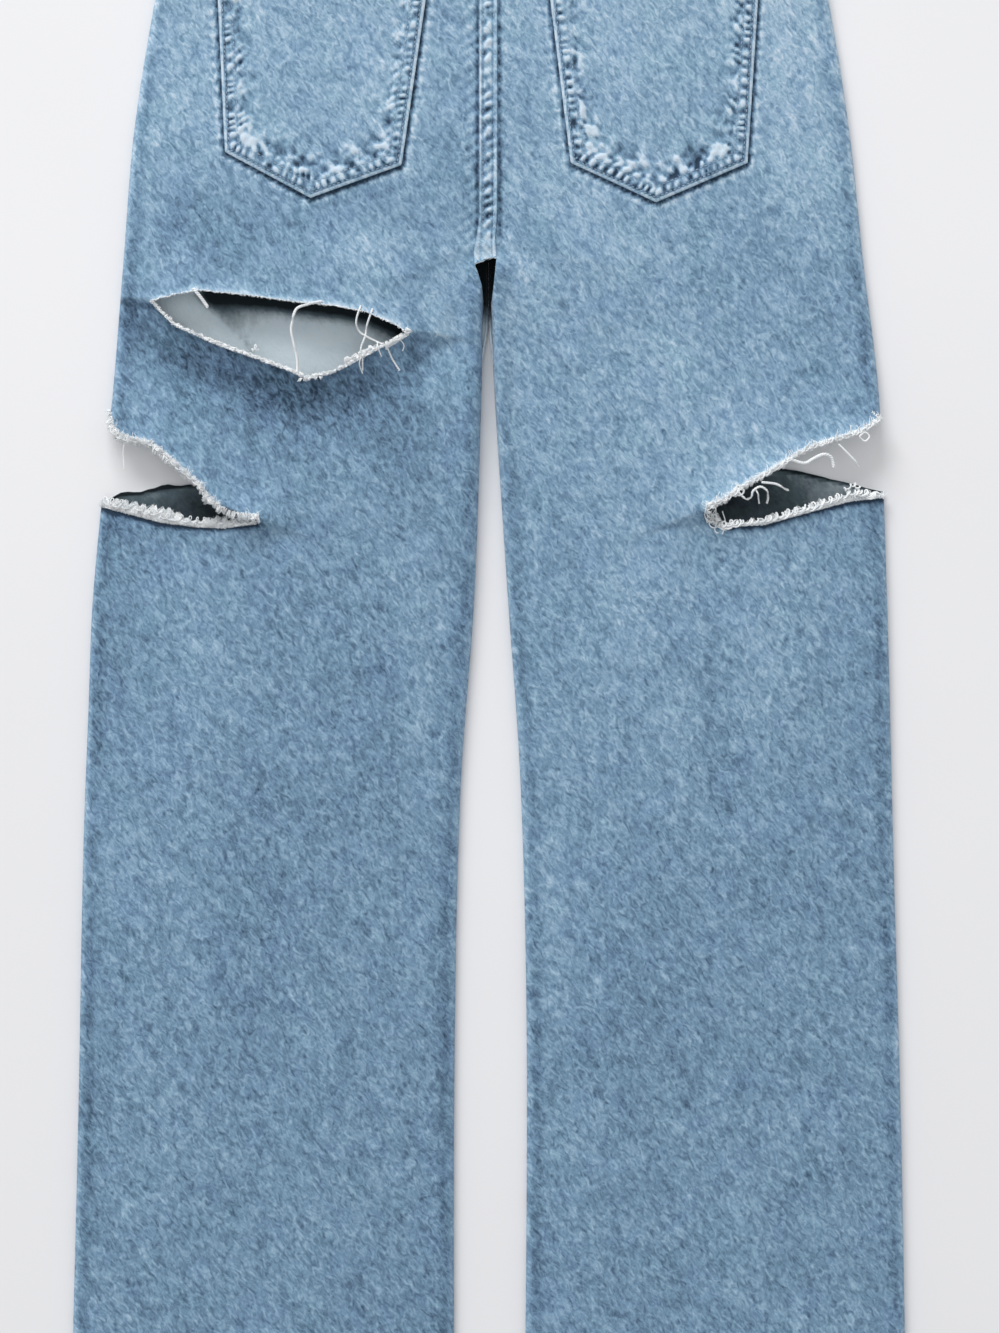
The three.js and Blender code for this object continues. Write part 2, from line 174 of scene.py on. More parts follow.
class Leg:
    """side is -1 for the left. outer and inner give the reach of its two edges by height."""

    def __init__(self, name, side, outer, inner):
        self.name, self.side, self.outer, self.inner = name, side, outer, inner


LEFT = Leg(
    "left",
    -1,
    through((-800, 284), (-580, 278.6), (-400, 275.2), (-300, 271.6), (-222, 268.4), (-87, 255.2),
            (3, 247.9), (92, 240.6), (182, 226.2), (240, 213.5), (290, 199.5), (330, 190)),
    through((-800, 23.5), (-535, 23), (-356, 19), (-222, 9.5), (-87, 4.8), (-20, 3.2), (-4, 0.15),
            (5, 0.15)),
)
RIGHT = Leg(
    "right",
    1,
    through((-800, 284), (-580, 280), (-400, 275), (-222, 270.5), (-87, 265), (3, 254.5),
            (92, 245), (182, 230.5), (240, 215), (290, 199.5), (330, 190)),
    through((-800, 24.5), (-535, 26), (-356, 22), (-222, 13), (-87, 4.2), (-20, 1.5), (-4, 0.15),
            (5, 0.15)),
)
LEGS = (LEFT, RIGHT)

OUTER_RIM = through((-800, 6.2), (-300, 6.8), (0, 7.4), (330, 8))
INNER_RIM = through((-800, 6.2), (-400, 7.4), (-60, 12), (0, 15), (150, 15), (290, 11.6), (330, 11))
INNER_ROLL = through((-800, 4), (-400, 5.6), (-200, 5.5), (-60, 4), (0, 3))
CROWN = through((-800, 3.4), (-400, 5.6), (-100, 5), (0, 3), (150, 2.5), (330, 1))

FOLDS = [  # from, to, width, rise
    ((164, -182), (212, -290), 9, 2.2),
    ((150, -200), (158, -360), 20, -1.8),
    ((-183, -185), (-186, -330), 22, 1.4),
    ((-225, -60), (-60, -100), 26, -2.4),
    ((-200, 8), (-80, 0), 20, 1.6),
    ((42, -390), (46, -500), 14, 1.2),
    ((-110, -560), (-130, -720), 30, 1.2),
    ((120, -560), (150, -700), 30, -1),
]

THIGH_RIP = [
    (-228, -24), (-213, -20), (-196, -17), (-167, -20), (-131, -25), (-103, -28), (-82, -32),
    (-62, -41), (-54, -47), (-72, -55), (-94, -67), (-107, -73), (-123, -76), (-134, -71),
    (-161, -61), (-186, -52), (-212, -40),
]
LEFT_BACK_RIP = [
    (-300, -106), (-256, -107), (-249, -116), (-228, -121), (-211, -135), (-194, -150),
    (-188, -159), (-175, -168), (-155, -171), (-157, -174), (-197, -176), (-221, -173),
    (-240, -168), (-262, -162), (-300, -160),
]
RIGHT_BACK_RIP = [
    (300, -100), (269, -101), (252, -112), (224, -121), (211, -126), (196, -136), (173, -149),
    (158, -159), (147, -163), (149, -171), (164, -176), (186, -175), (211, -167), (244, -159),
    (269, -156), (300, -156),
]
FRONT_RIPS = {
    -1: [
        (-300, -98), (-252, -100), (-226, -112), (-200, -134), (-189, -148), (-203, -146.5),
        (-222, -149), (-237, -152), (-250, -153), (-262, -158), (-300, -160),
    ],
    1: [
        (300, -92), (264, -94), (230, -108), (202, -125), (193, -135), (211, -138), (244, -145),
        (268, -152), (300, -152),
    ],
}
POCKETS = {  # the right one is sewn on a little lower
    -1: [(38, 208), (184.5, 214), (178, 76.5), (120, 45), (58.5, 67)],
    1: [(38, 208), (184.5, 214), (175, 69), (113, 42), (55.5, 68.5)],
}


def lift(height):
    """How far the fronts' outer face is off the surface."""
    return LIFT * smooth(height, 150, 240)


def dip(x):
    """How much lower than at the sides the waistband runs at the front."""
    return FRONT_DIP * np.maximum(1 - (x / LEFT.outer(BAND_FOOT)) ** 2, 0)


def split(height):
    """1 where the legs are apart, and 0 above the crotch."""
    return 1 - smooth(height, -4, 10)


def yoke_seam(reach):
    return YOKE_FOOT + 30 * (reach + 9) / 269


def back_level(leg, reach, height):
    """The level of the back's outer face, away from its rolled edges."""
    outer = leg.outer(height)
    across = (outer - reach) / (outer - leg.inner(height))
    rim = OUTER_RIM(height)
    rise = (INNER_RIM(height) - rim) * np.sin(across * math.pi / 2)
    hump = 4 * across * (1 - across)
    folds = ridges(leg.side * reach, height, FOLDS)
    return lift(height) + rim + rise + (CROWN(height) + folds) * hump


# ---- rips


class Rip:
    """A tear in a back: its outline, its two ends, how far its edges stand up or sink, and its painted
    shadow.
    """

    def __init__(self, outline, ends, raised, lip, sunk, shadow_line):
        self.outline, self.ends, self.raised, self.lip = outline, ends, raised, lip
        self.sunk, self.shadow_line = sunk, shadow_line

    def above(self, x, height):
        """1 over the line between the ends, and 0 under it."""
        (ax, ah), (bx, bh) = self.ends
        return smooth(height - ah - (x - ax) * (bh - ah) / (bx - ax), -1.5, 1.5)

    def relief(self, x, height):
        """(relief, wear and painted shadow) of the cloth around the tear."""
        away = np.maximum(-off_outline(x, height, self.outline)[0], 0)
        above = self.above(x, height)
        upper = self.raised * np.exp(-away / 15)
        lower = self.lip * bump(away, 4) - self.sunk * bump(away - 20, 15)
        pale = above * 0.8 * bump(away, 2.6) + (1 - above) * 0.5 * bump(away, 2)
        # painted shadow: a dark line along the lower torn edge, and painted shade in the trough below it
        dark = self.shadow_line * bump(away, 2.9) + self.sunk * bump(away - 16, 14) / 6
        return above * upper + (1 - above) * lower, pale - (1 - above) * dark


RIPS = {
    -1: [
        Rip(THIGH_RIP, ((-228, -25), (-54, -46)), 5.2, 2.6, 2.6, 0.7),
        Rip(LEFT_BACK_RIP, ((-262, -135), (-155, -173)), 8, 0, 0.6, 3.0),
    ],
    1: [Rip(RIGHT_BACK_RIP, ((148, -167), (266, -128)), 8, 0, 0.6, 2.6)],
}
CROTCH_HOLE = [
    (-9.5, 0.5), (5.6, 6), (4.4, -6), (3.6, -14), (2.2, -24), (-3.4, -24), (-4.4, -14), (-7.4, -5),
]


# ---- fine relief

CREASES = [  # from, to, width, rise
    ((166, -176), (190, -215), 4, 1.0),
    ((176, -186), (206, -262), 5, -0.9),
    ((140, -178), (132, -240), 7, -0.7),
    ((8, -6), (60, -70), 5, 0.7),
    ((14, 4), (80, -40), 6, 0.7),
    ((16, 18), (90, 0), 7, 0.6),
    ((-10, 0), (-48, -60), 5, 0.6),
    ((-14, 14), (-70, -12), 6, 0.5),
    ((-20, -60), (-40, -180), 8, -0.6),
    ((-47, -199), (-50, -310), 10, 0.7),
    ((-120, -190), (-128, -300), 12, -0.6),
    ((-158, -200), (-150, -330), 9, -0.6),
    ((-230, -190), (-240, -320), 12, -0.7),
    ((-250, -185), (-262, -300), 6, 0.5),
    ((250, -170), (258, -300), 9, 0.6),
    ((225, -190), (238, -330), 12, -0.6),
    ((60, -150), (90, -260), 12, 0.5),
    ((-215, 30), (-235, -10), 8, 0.5),
    ((205, 60), (235, -40), 12, 0.6),
    ((190, 20), (228, -70), 10, -0.5),
    ((-140, -380), (-150, -560), 18, -0.5),
    ((-75, -340), (-80, -480), 14, 0.5),
    ((200, -380), (212, -520), 16, 0.5),
    ((100, -420), (110, -560), 16, 0.6),
    ((-230, -420), (-236, -600), 14, 0.5),
]
WASH_AND_SHADE = [  # from, to, width, how much paler
    # painted shadow below the thigh rip, where the sagging cloth lies in shade
    ((-190, -72), (-70, -104), 34, -0.42),
    ((-205, 36), (-120, 16), 22, -0.26),
    ((214, 60), (206, 200), 34, 0.2),
    ((-28, 60), (-30, 170), 14, -0.14),
    ((-185, -190), (-190, -330), 30, 0.16),
    ((-48, -200), (-46, -310), 14, 0.2),
    ((-254, -170), (-258, -320), 18, -0.2),
    ((152, -205), (158, -360), 16, -0.25),
    ((44, -395), (46, -500), 9, 0.22),
    ((-90, -20), (-30, -60), 24, 0.18),
    ((-135, 6), (-72, 14), 13, 0.24),
    ((-86, 54), (-44, 32), 14, -0.2),
    ((-205, 24), (-178, -2), 13, -0.16),
    ((-26, 24), (-38, -110), 8, 0.16),
    ((-62, -8), (-46, -52), 9, -0.16),
    ((13, 14), (34, -18), 9, 0.28),
    ((10, 28), (52, 6), 4, -0.2),
    ((12, -24), (15, -130), 7, 0.2),
    ((24, 150), (28, 92), 12, -0.14),
    ((70, 40), (95, 0), 13, 0.16),
    ((130, -420), (130, -520), 60, -0.14),
]


def cloth_relief(x, h, seed):
    """(broad, fine) unevenness of washed denim, in millimetres."""
    slant, across = 0.85 * x + 0.53 * h, 0.85 * h - 0.53 * x
    broad = 0.5 * noise(x, h / 6, 26, seed) + 0.35 * noise(x + 0.4 * h, h / 2, 34, seed + 1)
    fine = 0.2 * noise(slant, across / 2.4, 4.2, seed + 2)
    return broad, fine + 0.16 * noise(slant, across / 2, 2.2, seed + 3)


def seam_puckers(away, along, seed):
    """Slanting puckers beside a felled seam."""
    wave = ripple(along + 0.8 * away, 9, 2.5, 14, seed, along)
    return 0.3 * wave * smooth(away, 5, 7) * (1 - smooth(away, 8, 24))


def back_relief(leg, reach, height):
    """(broad relief, fine relief, wear with painted shadow) of the back's outer face."""
    x = leg.side * reach
    broad, crinkle = cloth_relief(x, height, 11 if leg.side < 0 else 41)
    broad = broad + ridges(x, height, CREASES)
    wear_and_shade = 0
    for rip in RIPS[leg.side]:
        relief, worn_and_shaded = rip.relief(x, height)
        broad, wear_and_shade = broad + relief, wear_and_shade + worn_and_shaded
    fine = 0.55 * crinkle + seam_puckers(reach, height, 5) * smooth(height, -10, 10)
    side = leg.outer(height) - reach
    fine = fine + 0.25 * seam_puckers(side + 3, height, 6) * (1 - smooth(side, 4, 16))
    hem = height + INSEAM
    fine = fine + 0.5 * bump(hem - 5, 5) * np.sin(2 * math.pi * (x + 1.2 * hem) / 15)
    inside, place = off_outline(reach, height, POCKETS[leg.side])
    beside = smooth(-inside, 0.5, 2) * (1 - smooth(-inside, 3, 11))
    fine = fine + 0.3 * beside * ripple(place, 8, 2, 12, 7)
    under = smooth(inside, -1, 1)
    # the dark line just outside the pocket's edge is a painted shadow
    wear_and_shade = wear_and_shade + 0.5 * bump(inside + 4, 1.3) - 1.05 * bump(inside + 0.9, 1.3)
    return broad, fine * (1 - under) - 0.3 * under - 0.4 * bump(inside + 0.6, 1.3), wear_and_shade


def rolled(into, width):
    """How far up a rolled edge has come, from 0 at its rim to 1 where the roll ends."""
    return np.sqrt(1 - np.clip(1 - into / width, 0, 1) ** 2)


def roll_widths(height):
    """Widths of the rolled outer and inner edges."""
    return EDGE_SHAPE * (OUTER_RIM(height) - SEAM_LEVEL - GAP / 3), INNER_ROLL(height)


def inseam_ridge(leg, reach, height):
    """The bulk of the inseam, which holds the inner edge up near the crotch."""
    near = smooth(height, -190, -60) * split(height)
    return 4 * near * bump(reach - leg.inner(height) - 3, 9)


def wash_and_painted_shade(x, height):
    """Broad paler and darker places left by wash and wearing, and a painted shadow below the thigh rip.
    """
    thigh = 0.32 * np.exp(-(((x - 140) / 130) ** 2) - ((height + 120) / 170) ** 2)
    seat = 0.14 * np.exp(-(((x - 140) / 100) ** 2) - ((height + 15) / 45) ** 2)
    return thigh - seat + ridges(x, height, WASH_AND_SHADE)


def back_face(leg, reach, height):
    """(level, wear with painted highlights and shade) of the back's outer face, rolled down at its
    edges.
    """
    outer, inner = leg.outer(height), leg.inner(height)
    outer_width, inner_width = roll_widths(height)
    seam = lift(height) + SEAM_LEVEL + GAP / 3
    broad, fine, wear_and_shade = back_relief(leg, reach, height)
    level = back_level(leg, reach, height) + broad + fine + inseam_ridge(leg, reach, height)
    level = seam + (level - seam) * rolled(outer - reach, outer_width)
    level = level - (level - seam) * (1 - rolled(reach - inner, inner_width)) * split(height)
    # a painted highlight on the rims of the rolled edges, painted shade in a band just inside them, and
    # a painted shadow line beside the felled strip
    rim = 0.25 * (bump(outer - reach - 1.5, 2) + bump(reach - inner - 1.5, 2) * split(height))
    beside = 0.3 * (bump(outer - reach - 7, 4) + bump(reach - inner - 7, 4) * split(height))
    felled = 1.1 * bump(reach - SEAM_EDGE, 1.5) * smooth(height, 12, 26)
    return level, wear_and_shade + 1.3 * fine + rim - beside - felled + wash_and_painted_shade(leg.side * reach, height)


def face_at(x, height):
    """The level of the back's outer face at any place on either leg."""
    left = back_face(LEFT, np.maximum(-x, LEFT.inner(height)), height)[0]
    right = back_face(RIGHT, np.maximum(x, RIGHT.inner(height)), height)[0]
    return np.where(x < 0, left, right)


def pocket_relief(inside, place, x, height, seed):
    """(relief, wear and painted light) of a patch pocket with a turned and double-stitched edge."""
    low = 1 - smooth(height, 78, 112)
    dots = ripple(place + 0.15 * inside, 6.1, 5, 13, seed, place)
    dots = dots * (1.0 + 0.5 * noise(place, 0, 9, seed + 3))
    marks = ripple(place + 0.9 * inside, 7.8, 5, 15, seed + 5, place)
    marks = marks * np.maximum(0.5 + 0.9 * noise(place, 0, 17, seed + 6), 0.1)
    blots = 0.9 * noise(x + 0.4 * height, height, 4, seed + 1) + 0.7 * noise(x, height, 7, seed + 2)
    spots = noise(x, height - 0.5 * x, 2.7, seed + 4)
    turned = 0.75 * (1 - smooth(inside, 10.5, 14))
    edge = -1.1 * (1 - smooth(inside, 0, 1.5))
    first, second = (bump(inside - row, 0.8) for row in POCKET_ROWS)
    grooves = -0.5 * first - 0.3 * second
    between = bump(inside - 5.8, 2.1) * (0.8 * dots + 0.4 * spots)
    within = bump(inside - 12.4, 3.4) * (0.6 * marks + (0.45 + 0.35 * low) * blots + 0.45 * spots)
    puckers = between + within
    far = bump(inside - 20, 7) * (0.25 + 0.75 * low) * (blots + 0.4 * spots)
    # a painted highlight along the turned edge, and painted shade along both rows of stitches
    wear_and_shade = 0.9 * bump(inside - 1.2, 0.9) - 1.4 * bump(inside - POCKET_ROWS[0], 0.9) - 0.4 * second
    wear_and_shade = wear_and_shade + 1.7 * puckers + 1.1 * far
    return turned + edge + grooves + puckers + far, wear_and_shade


# ---- meshes


def finish(name, vertices, faces, materials, slots=None, wear_and_shade=None, sharp=None):
    """An object from arrays in metres, with smooth faces."""
    mesh = bpy.data.meshes.new(name)
    mesh.from_pydata(vertices, [], faces)
    for material in materials:
        mesh.materials.append(material)
    if slots is not None:
        mesh.polygons.foreach_set("material_index", np.asarray(slots, np.int32))
    mesh.shade_smooth()
    if sharp is not None:
        ends = np.empty(len(mesh.edges) * 2, np.int32)
        mesh.edges.foreach_get("vertices", ends)
        keys = np.sort(ends.reshape(-1, 2), axis=1) @ (len(vertices), 1)
        made = mesh.attributes.new("sharp_edge", "BOOLEAN", "EDGE")
        made.data.foreach_set("value", np.isin(keys, sharp))
    # the per-point value holds wear together with painted highlights and shade
    if wear_and_shade is not None:
        made = mesh.attributes.new("wear_and_shade", "FLOAT", "POINT")
        made.data.foreach_set("value", np.asarray(wear_and_shade, np.float32))
    mesh.update()
    piece = bpy.data.objects.new(name, mesh)
    bpy.context.collection.objects.link(piece)
    return piece


def unit(vectors):
    return vectors / np.maximum(np.linalg.norm(vectors, axis=-1, keepdims=True), 1e-9)


def grid_normals(points, flip):
    along, across = np.gradient(points, axis=(0, 1))
    return unit(np.cross(across, along) * (-1 if flip else 1))


def shell(name, places, field, wear_and_shade, flip, materials, thick=CLOTH, inner_wear_and_shade=None):
    """A wall of cloth under a grid of x, height and level, clipped where field is below zero.

    Its outer face, its inner face and its rim take the three materials."""
    points = np.stack(np.broadcast_arrays(*places), -1)
    field = np.broadcast_to(field, points.shape[:2])
    wear_and_shade = np.broadcast_to(wear_and_shade, field.shape)
    wear_and_shade = np.stack([wear_and_shade, wear_and_shade if inner_wear_and_shade is None else inner_wear_and_shade], -1)
    normal = grid_normals(points, flip)
    inside = field > 0
    rows, columns = field.shape
    index = np.full(field.shape, -1)
    index[inside] = np.arange(inside.sum())
    kept = [points[inside], normal[inside], wear_and_shade[inside]]
    corners = np.stack([index[:-1, :-1], index[:-1, 1:], index[1:, 1:], index[1:, :-1]], -1)
    corners = corners.reshape(-1, 4)
    count = (corners >= 0).sum(1)
    faces = corners[count == 4].tolist()
    added, made = {}, [[], [], []]
    for cell in np.flatnonzero((count > 0) & (count < 4)):
        i, j = divmod(int(cell), columns - 1)
        ring = [(i, j), (i, j + 1), (i + 1, j + 1), (i + 1, j)]
        face = []
        for a, b in zip(ring, [*ring[1:], ring[0]]):
            if inside[a]:
                face.append(int(index[a]))
            if inside[a] != inside[b]:
                key = (a, b) if a < b else (b, a)
                if key not in added:
                    p, q = key
                    t = min(max(field[p] / (field[p] - field[q]), 0.03), 0.97)
                    added[key] = len(kept[0]) + len(added)
                    made[0].append(points[p] * (1 - t) + points[q] * t)
                    made[1].append(normal[p] * (1 - t) + normal[q] * t)
                    made[2].append(wear_and_shade[p] * (1 - t) + wear_and_shade[q] * t)
                face.append(added[key])
        if len(face) > 2:
            faces.append(face)
    if added:
        kept = [np.vstack([old, new]) for old, new in zip(kept, made)]
    outer, normals, worn_and_shaded = kept
    total = len(outer)
    if flip:
        faces = [face[::-1] for face in faces]
    pairs = np.array([pair for face in faces for pair in zip(face, face[1:] + face[:1])])
    keys = np.sort(pairs, axis=1) @ (2 * total, 1)
    _, first, times = np.unique(keys, return_index=True, return_counts=True)
    rim = pairs[first[times == 1]]
    inner = outer - normals * thick
    vertices = np.vstack([outer, inner])
    back = [[k + total for k in face[::-1]] for face in faces]
    sides = np.stack([rim[:, 1], rim[:, 0], rim[:, 0] + total, rim[:, 1] + total], 1).tolist()
    slots = [0] * len(faces) + [1] * len(back) + [2] * len(sides)
    edge = np.sort(rim, axis=1)
    sharp = np.concatenate([edge @ (2 * total, 1), (edge + total) @ (2 * total, 1)])
    vertices[:, 1] -= CENTRE
    return finish(name, vertices * MM, faces + back + sides, materials, slots, worn_and_shaded.T.ravel(), sharp)


ANY_WAY = (0.31, 0.17, 0.93)  # no thread runs exactly this way


def tube_mesh(paths, radius, sides=4):
    """Vertices and faces of closed tubes along paths, an (n, k, 3) array."""
    paths = np.asarray(paths, float)
    count, length, _ = paths.shape
    ahead = unit(np.gradient(paths, axis=1))
    side = unit(np.cross(ahead, ANY_WAY))
    other = np.cross(ahead, side)
    turns = (np.arange(sides) * 2 * math.pi / sides)[None, None, :, None]
    size = np.broadcast_to(radius, (count, length))[..., None, None]
    ring = side[:, :, None] * np.cos(turns) + other[:, :, None] * np.sin(turns)
    vertices = (paths[:, :, None] + ring * size).reshape(-1, 3)
    first = (np.arange(count) * length * sides)[:, None, None]
    along = (np.arange(length - 1) * sides)[None, :, None]
    corner = np.arange(sides)[None, None, :]
    a, b = first + along + corner, first + along + (corner + 1) % sides
    walls = np.stack([a, b, b + sides, a + sides], -1).reshape(-1, 4)
    ends = first[:, 0] + np.arange(sides)
    caps = [*ends[:, ::-1].tolist(), *(ends + (length - 1) * sides).tolist()]
    return vertices, walls.tolist() + caps


def tubes(name, groups, material, sides=4):
    """One mesh of tubes from (paths, radius) groups."""
    vertices, faces, total = [], [], 0
    for paths, radius in groups:
        points, quads = tube_mesh(paths, radius, sides)
        vertices.append(points)
        faces += [[corner + total for corner in face] for face in quads] if total else quads
        total += len(points)
    vertices = np.vstack(vertices)
    vertices[:, 1] -= CENTRE
    return finish(name, vertices * MM, faces, [material])


def spaced(points, spacing):
    """Places every so far along a row of points, and the unit directions there."""
    points = np.array(points, float)
    steps = np.hypot(*np.diff(points, axis=0).T)
    place = np.concatenate([[0], np.cumsum(steps)])
    at = np.arange(spacing / 2, place[-1], spacing)
    where = np.stack([np.interp(at, place, column) for column in points.T], -1)
    i = np.clip(np.searchsorted(place, at) - 1, 0, len(steps) - 1)
    return where, (np.diff(points, axis=0) / steps[:, None])[i], at


def joins(piece, node=None):
    """Puts a piece on the garment's body, in place of a CAD node if it has one."""
    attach(piece, "root")
    if node:
        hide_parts(node)
    return piece


# ---- materials


def srgb(r, g, b):
    """A colour of three 0 to 255 values, as the shader takes it."""
    scaled = (channel / 255 for channel in (r, g, b))
    return (*(c / 12.92 if c <= 0.04045 else ((c + 0.055) / 1.055) ** 2.4 for c in scaled), 1)


class Graph:
    """Short ways to add shader nodes to one material."""

    def __init__(self, name, roughness=0.9, sheen=0.0):
        self.material = bpy.data.materials.new(name)
        self.material.use_nodes = True
        self.nodes = self.material.node_tree.nodes
        self.shader = self.nodes["Principled BSDF"]
        self.fill(self.shader, {"Roughness": roughness, "Specular IOR Level": 0.25})
        if sheen:
            self.fill(self.shader, {"Sheen Weight": sheen, "Sheen Roughness": 0.5})
        self.place = self.add("ShaderNodeTexCoord", {}, "Object")

    def fill(self, node, sockets):
        """Sets a node's sockets, each to a value or to another node's output."""
        for key, value in sockets.items():
            if isinstance(value, bpy.types.NodeSocket):
                self.material.node_tree.links.new(value, node.inputs[key])
            else:
                node.inputs[key].default_value = value

    def add(self, kind, sockets, output=0, **settings):
        """The output of a new node."""
        node = self.nodes.new(kind)
        for key, value in settings.items():
            setattr(node, key, value)
        self.fill(node, sockets)
        return node.outputs[output]

    def mapped(self, degrees, narrowed):
        """Object coordinates, turned about Z and then narrowed across the new Y."""
        turned = {"Vector": self.place, "Rotation": (0, 0, math.radians(degrees))}
        turned = self.add("ShaderNodeMapping", turned)
        return self.add("ShaderNodeMapping", {"Vector": turned, "Scale": (1, narrowed, 1)})

    def noise(self, vector, scale, detail=2.0, roughness=0.5, distortion=0.0):
        sockets = {"Vector": vector, "Scale": scale, "Detail": detail}
        sockets |= {"Roughness": roughness, "Distortion": distortion}
        return self.add("ShaderNodeTexNoise", sockets, "Fac")

    def math(self, operation, a, b=0.0, clamp=False):
        return self.add("ShaderNodeMath", {0: a, 1: b}, operation=operation, use_clamp=clamp)

    def spread(self, value, middle, gain):
        """value counted from its middle, times a gain."""
        return self.math("MULTIPLY", self.math("SUBTRACT", value, middle), gain)

    def vein(self, value, gain):
        """1 where a noise crosses its middle, and less the further it is from there."""
        away = self.math("ABSOLUTE", self.spread(value, 0.5, gain))
        return self.math("SUBTRACT", 1.0, away, clamp=True)

    def total(self, result, *values):
        for value in values:
            result = self.math("ADD", result, value)
        return result

    def ramp(self, value, stops):
        colour = self.add("ShaderNodeValToRGB", {"Fac": value}, "Color")
        elements = colour.node.color_ramp.elements
        while len(elements) < len(stops):
            elements.new(0.5)
        for element, (position, shade) in zip(elements, stops):
            element.position, element.color = position, shade
        return colour

    def height(self, *layers):
        """Bump from (value, distance in millimetres) layers."""
        normal = {}
        for value, distance in layers:
            sockets = {"Strength": 1, "Distance": distance * MM, "Height": value}
            normal = {"Normal": self.add("ShaderNodeBump", sockets | normal)}
        self.fill(self.shader, normal)

    def colour(self, output):
        self.fill(self.shader, {"Base Color": output})


STROKE = 58  # the crinkles run down to the right, at this many degrees
GRAINS = {  # degrees, narrowing, spots a metre, detail, distortion
    "crinkle": (STROKE, 1.8, 150, 0.0, 1.3),
    "vein": (STROKE, 1.8, 118, 1.0, 2.0),
    "slant": (48, 2.8, 66, 1.0, 1.6),
    "speck": (STROKE, 1.6, 175, 1.0, 0.5),
    "coarse": (STROKE, 1.8, 75, 2.0, 0.6),
    "weave": (-50, 4, 560, 1.0, 0.0),
}


def denim(name, stops, wear_and_shade_gain=1.0, wash=True, contrast=1.0):
    graph = Graph(name, roughness=0.92, sheen=0.12)
    grains = {
        key: graph.noise(graph.mapped(degrees, narrowed), scale, detail, 0.5, distortion)
        for key, (degrees, narrowed, scale, detail, distortion) in GRAINS.items()
    }
    crinkle, coarse, weave = (grains[key] for key in ("crinkle", "coarse", "weave"))
    line = graph.vein(grains["vein"], 8.0)
    speck = graph.math("MULTIPLY", graph.math("SUBTRACT", 0.39, grains["speck"]), 7.0, clamp=True)
    layers = [  # value, middle, gain
        (crinkle, 0.5, 0.54),
        (line, 0.34, 0.12),
        (graph.vein(grains["slant"], 12.0), 0.24, 0.09),
        (speck, 0.08, -0.14),
        (coarse, 0.5, 0.04),
        (weave, 0.5, 0.03),
        (graph.noise(graph.place, 26, 3.0, 0.55), 0.5, 0.05),
        (graph.noise(graph.mapped(0, 0.4), 9, 2.0, 0.5), 0.5, 0.26),
    ]
    layers = [graph.spread(value, middle, gain * contrast) for value, middle, gain in layers]
    # the attribute read here lightens or darkens the colour for wear and for painted highlights and
    # shade
    worn_and_shaded = graph.add("ShaderNodeAttribute", {}, "Fac", attribute_name="wear_and_shade")
    fade = graph.total(0.47, *layers, graph.math("MULTIPLY", worn_and_shaded, 0.42 * wear_and_shade_gain))
    if wash:  # the seat is paler
        axes = graph.add("ShaderNodeSeparateXYZ", {0: graph.place}, "Y")
        seat = {"Value": axes, "From Min": 0.12, "From Max": 0.46, "To Min": 0.0, "To Max": 0.16}
        seat = graph.add("ShaderNodeMapRange", seat, "Result", interpolation_type="SMOOTHSTEP")
        fade = graph.math("ADD", fade, seat)
    base = graph.ramp(fade, stops)
    hue = graph.ramp(graph.noise(graph.place, 42, 2.0, 0.6), TINTS)
    mixed = {0: 0.5, 6: base, 7: hue}
    graph.colour(graph.add("ShaderNodeMix", mixed, 2, data_type="RGBA", blend_type="SOFT_LIGHT"))
    graph.height((coarse, 0.15), (crinkle, 0.25), (line, 0.07), (weave, 0.025))
    return graph.material


TINTS = [(0.34, srgb(126, 127, 140)), (0.5, srgb(128, 128, 128)), (0.66, srgb(122, 132, 128))]
OUTSIDE = [
    (0.0, srgb(48, 70, 92)), (0.28, srgb(101, 129, 154)), (0.5, srgb(131, 162, 187)),
    (0.72, srgb(163, 191, 211)), (1.0, srgb(210, 223, 234)),
]
# the wrong side; its darkest stops show where painted shade darkens it
INSIDE = [
    (0.0, srgb(24, 36, 42)), (0.2, srgb(98, 114, 122)), (0.45, srgb(214, 226, 232)),
    (0.7, srgb(230, 241, 247)), (1.0, srgb(240, 246, 249)),
]
face_denim = denim("denim_face", OUTSIDE)
wrong_side = denim("denim_wrong_side", INSIDE, wear_and_shade_gain=1.2, wash=False, contrast=0.12)


def cotton(name, light, dark, scale=900):
    """Cotton yarn or tape."""
    graph = Graph(name, roughness=0.95, sheen=0.2)
    fibres = graph.noise(graph.place, scale, 3.0, 0.6)
    patches = graph.noise(graph.place, 160, 2.0, 0.6)
    mixed = graph.total(0.5, graph.spread(fibres, 0.5, 0.8), graph.spread(patches, 0.5, 0.9))
    graph.colour(graph.ramp(mixed, [(0.1, dark), (0.55, light), (1.0, srgb(250, 252, 253))]))
    graph.height((fibres, 0.2))
    return graph.material


def metal(name, colour):
    """Brushed and slightly tarnished metal."""
    graph = Graph(name, roughness=0.4)
    graph.fill(graph.shader, {"Metallic": 1})
    grain = graph.noise(graph.mapped(0, 6), 700, 2.0, 0.6)
    tarnish = graph.noise(graph.place, 190, 3.0, 0.6)
    mixed = graph.total(0.5, graph.spread(grain, 0.5, 0.5), graph.spread(tarnish, 0.5, 0.9))
    dark = tuple(0.45 * channel for channel in colour[:3]) + (1,)
    graph.colour(graph.ramp(mixed, [(0.2, dark), (0.7, colour)]))
    dull = graph.math("ADD", 0.2, graph.math("MULTIPLY", tarnish, 0.4))
    graph.fill(graph.shader, {"Roughness": dull})
    graph.height((grain, 0.05))
    return graph.material


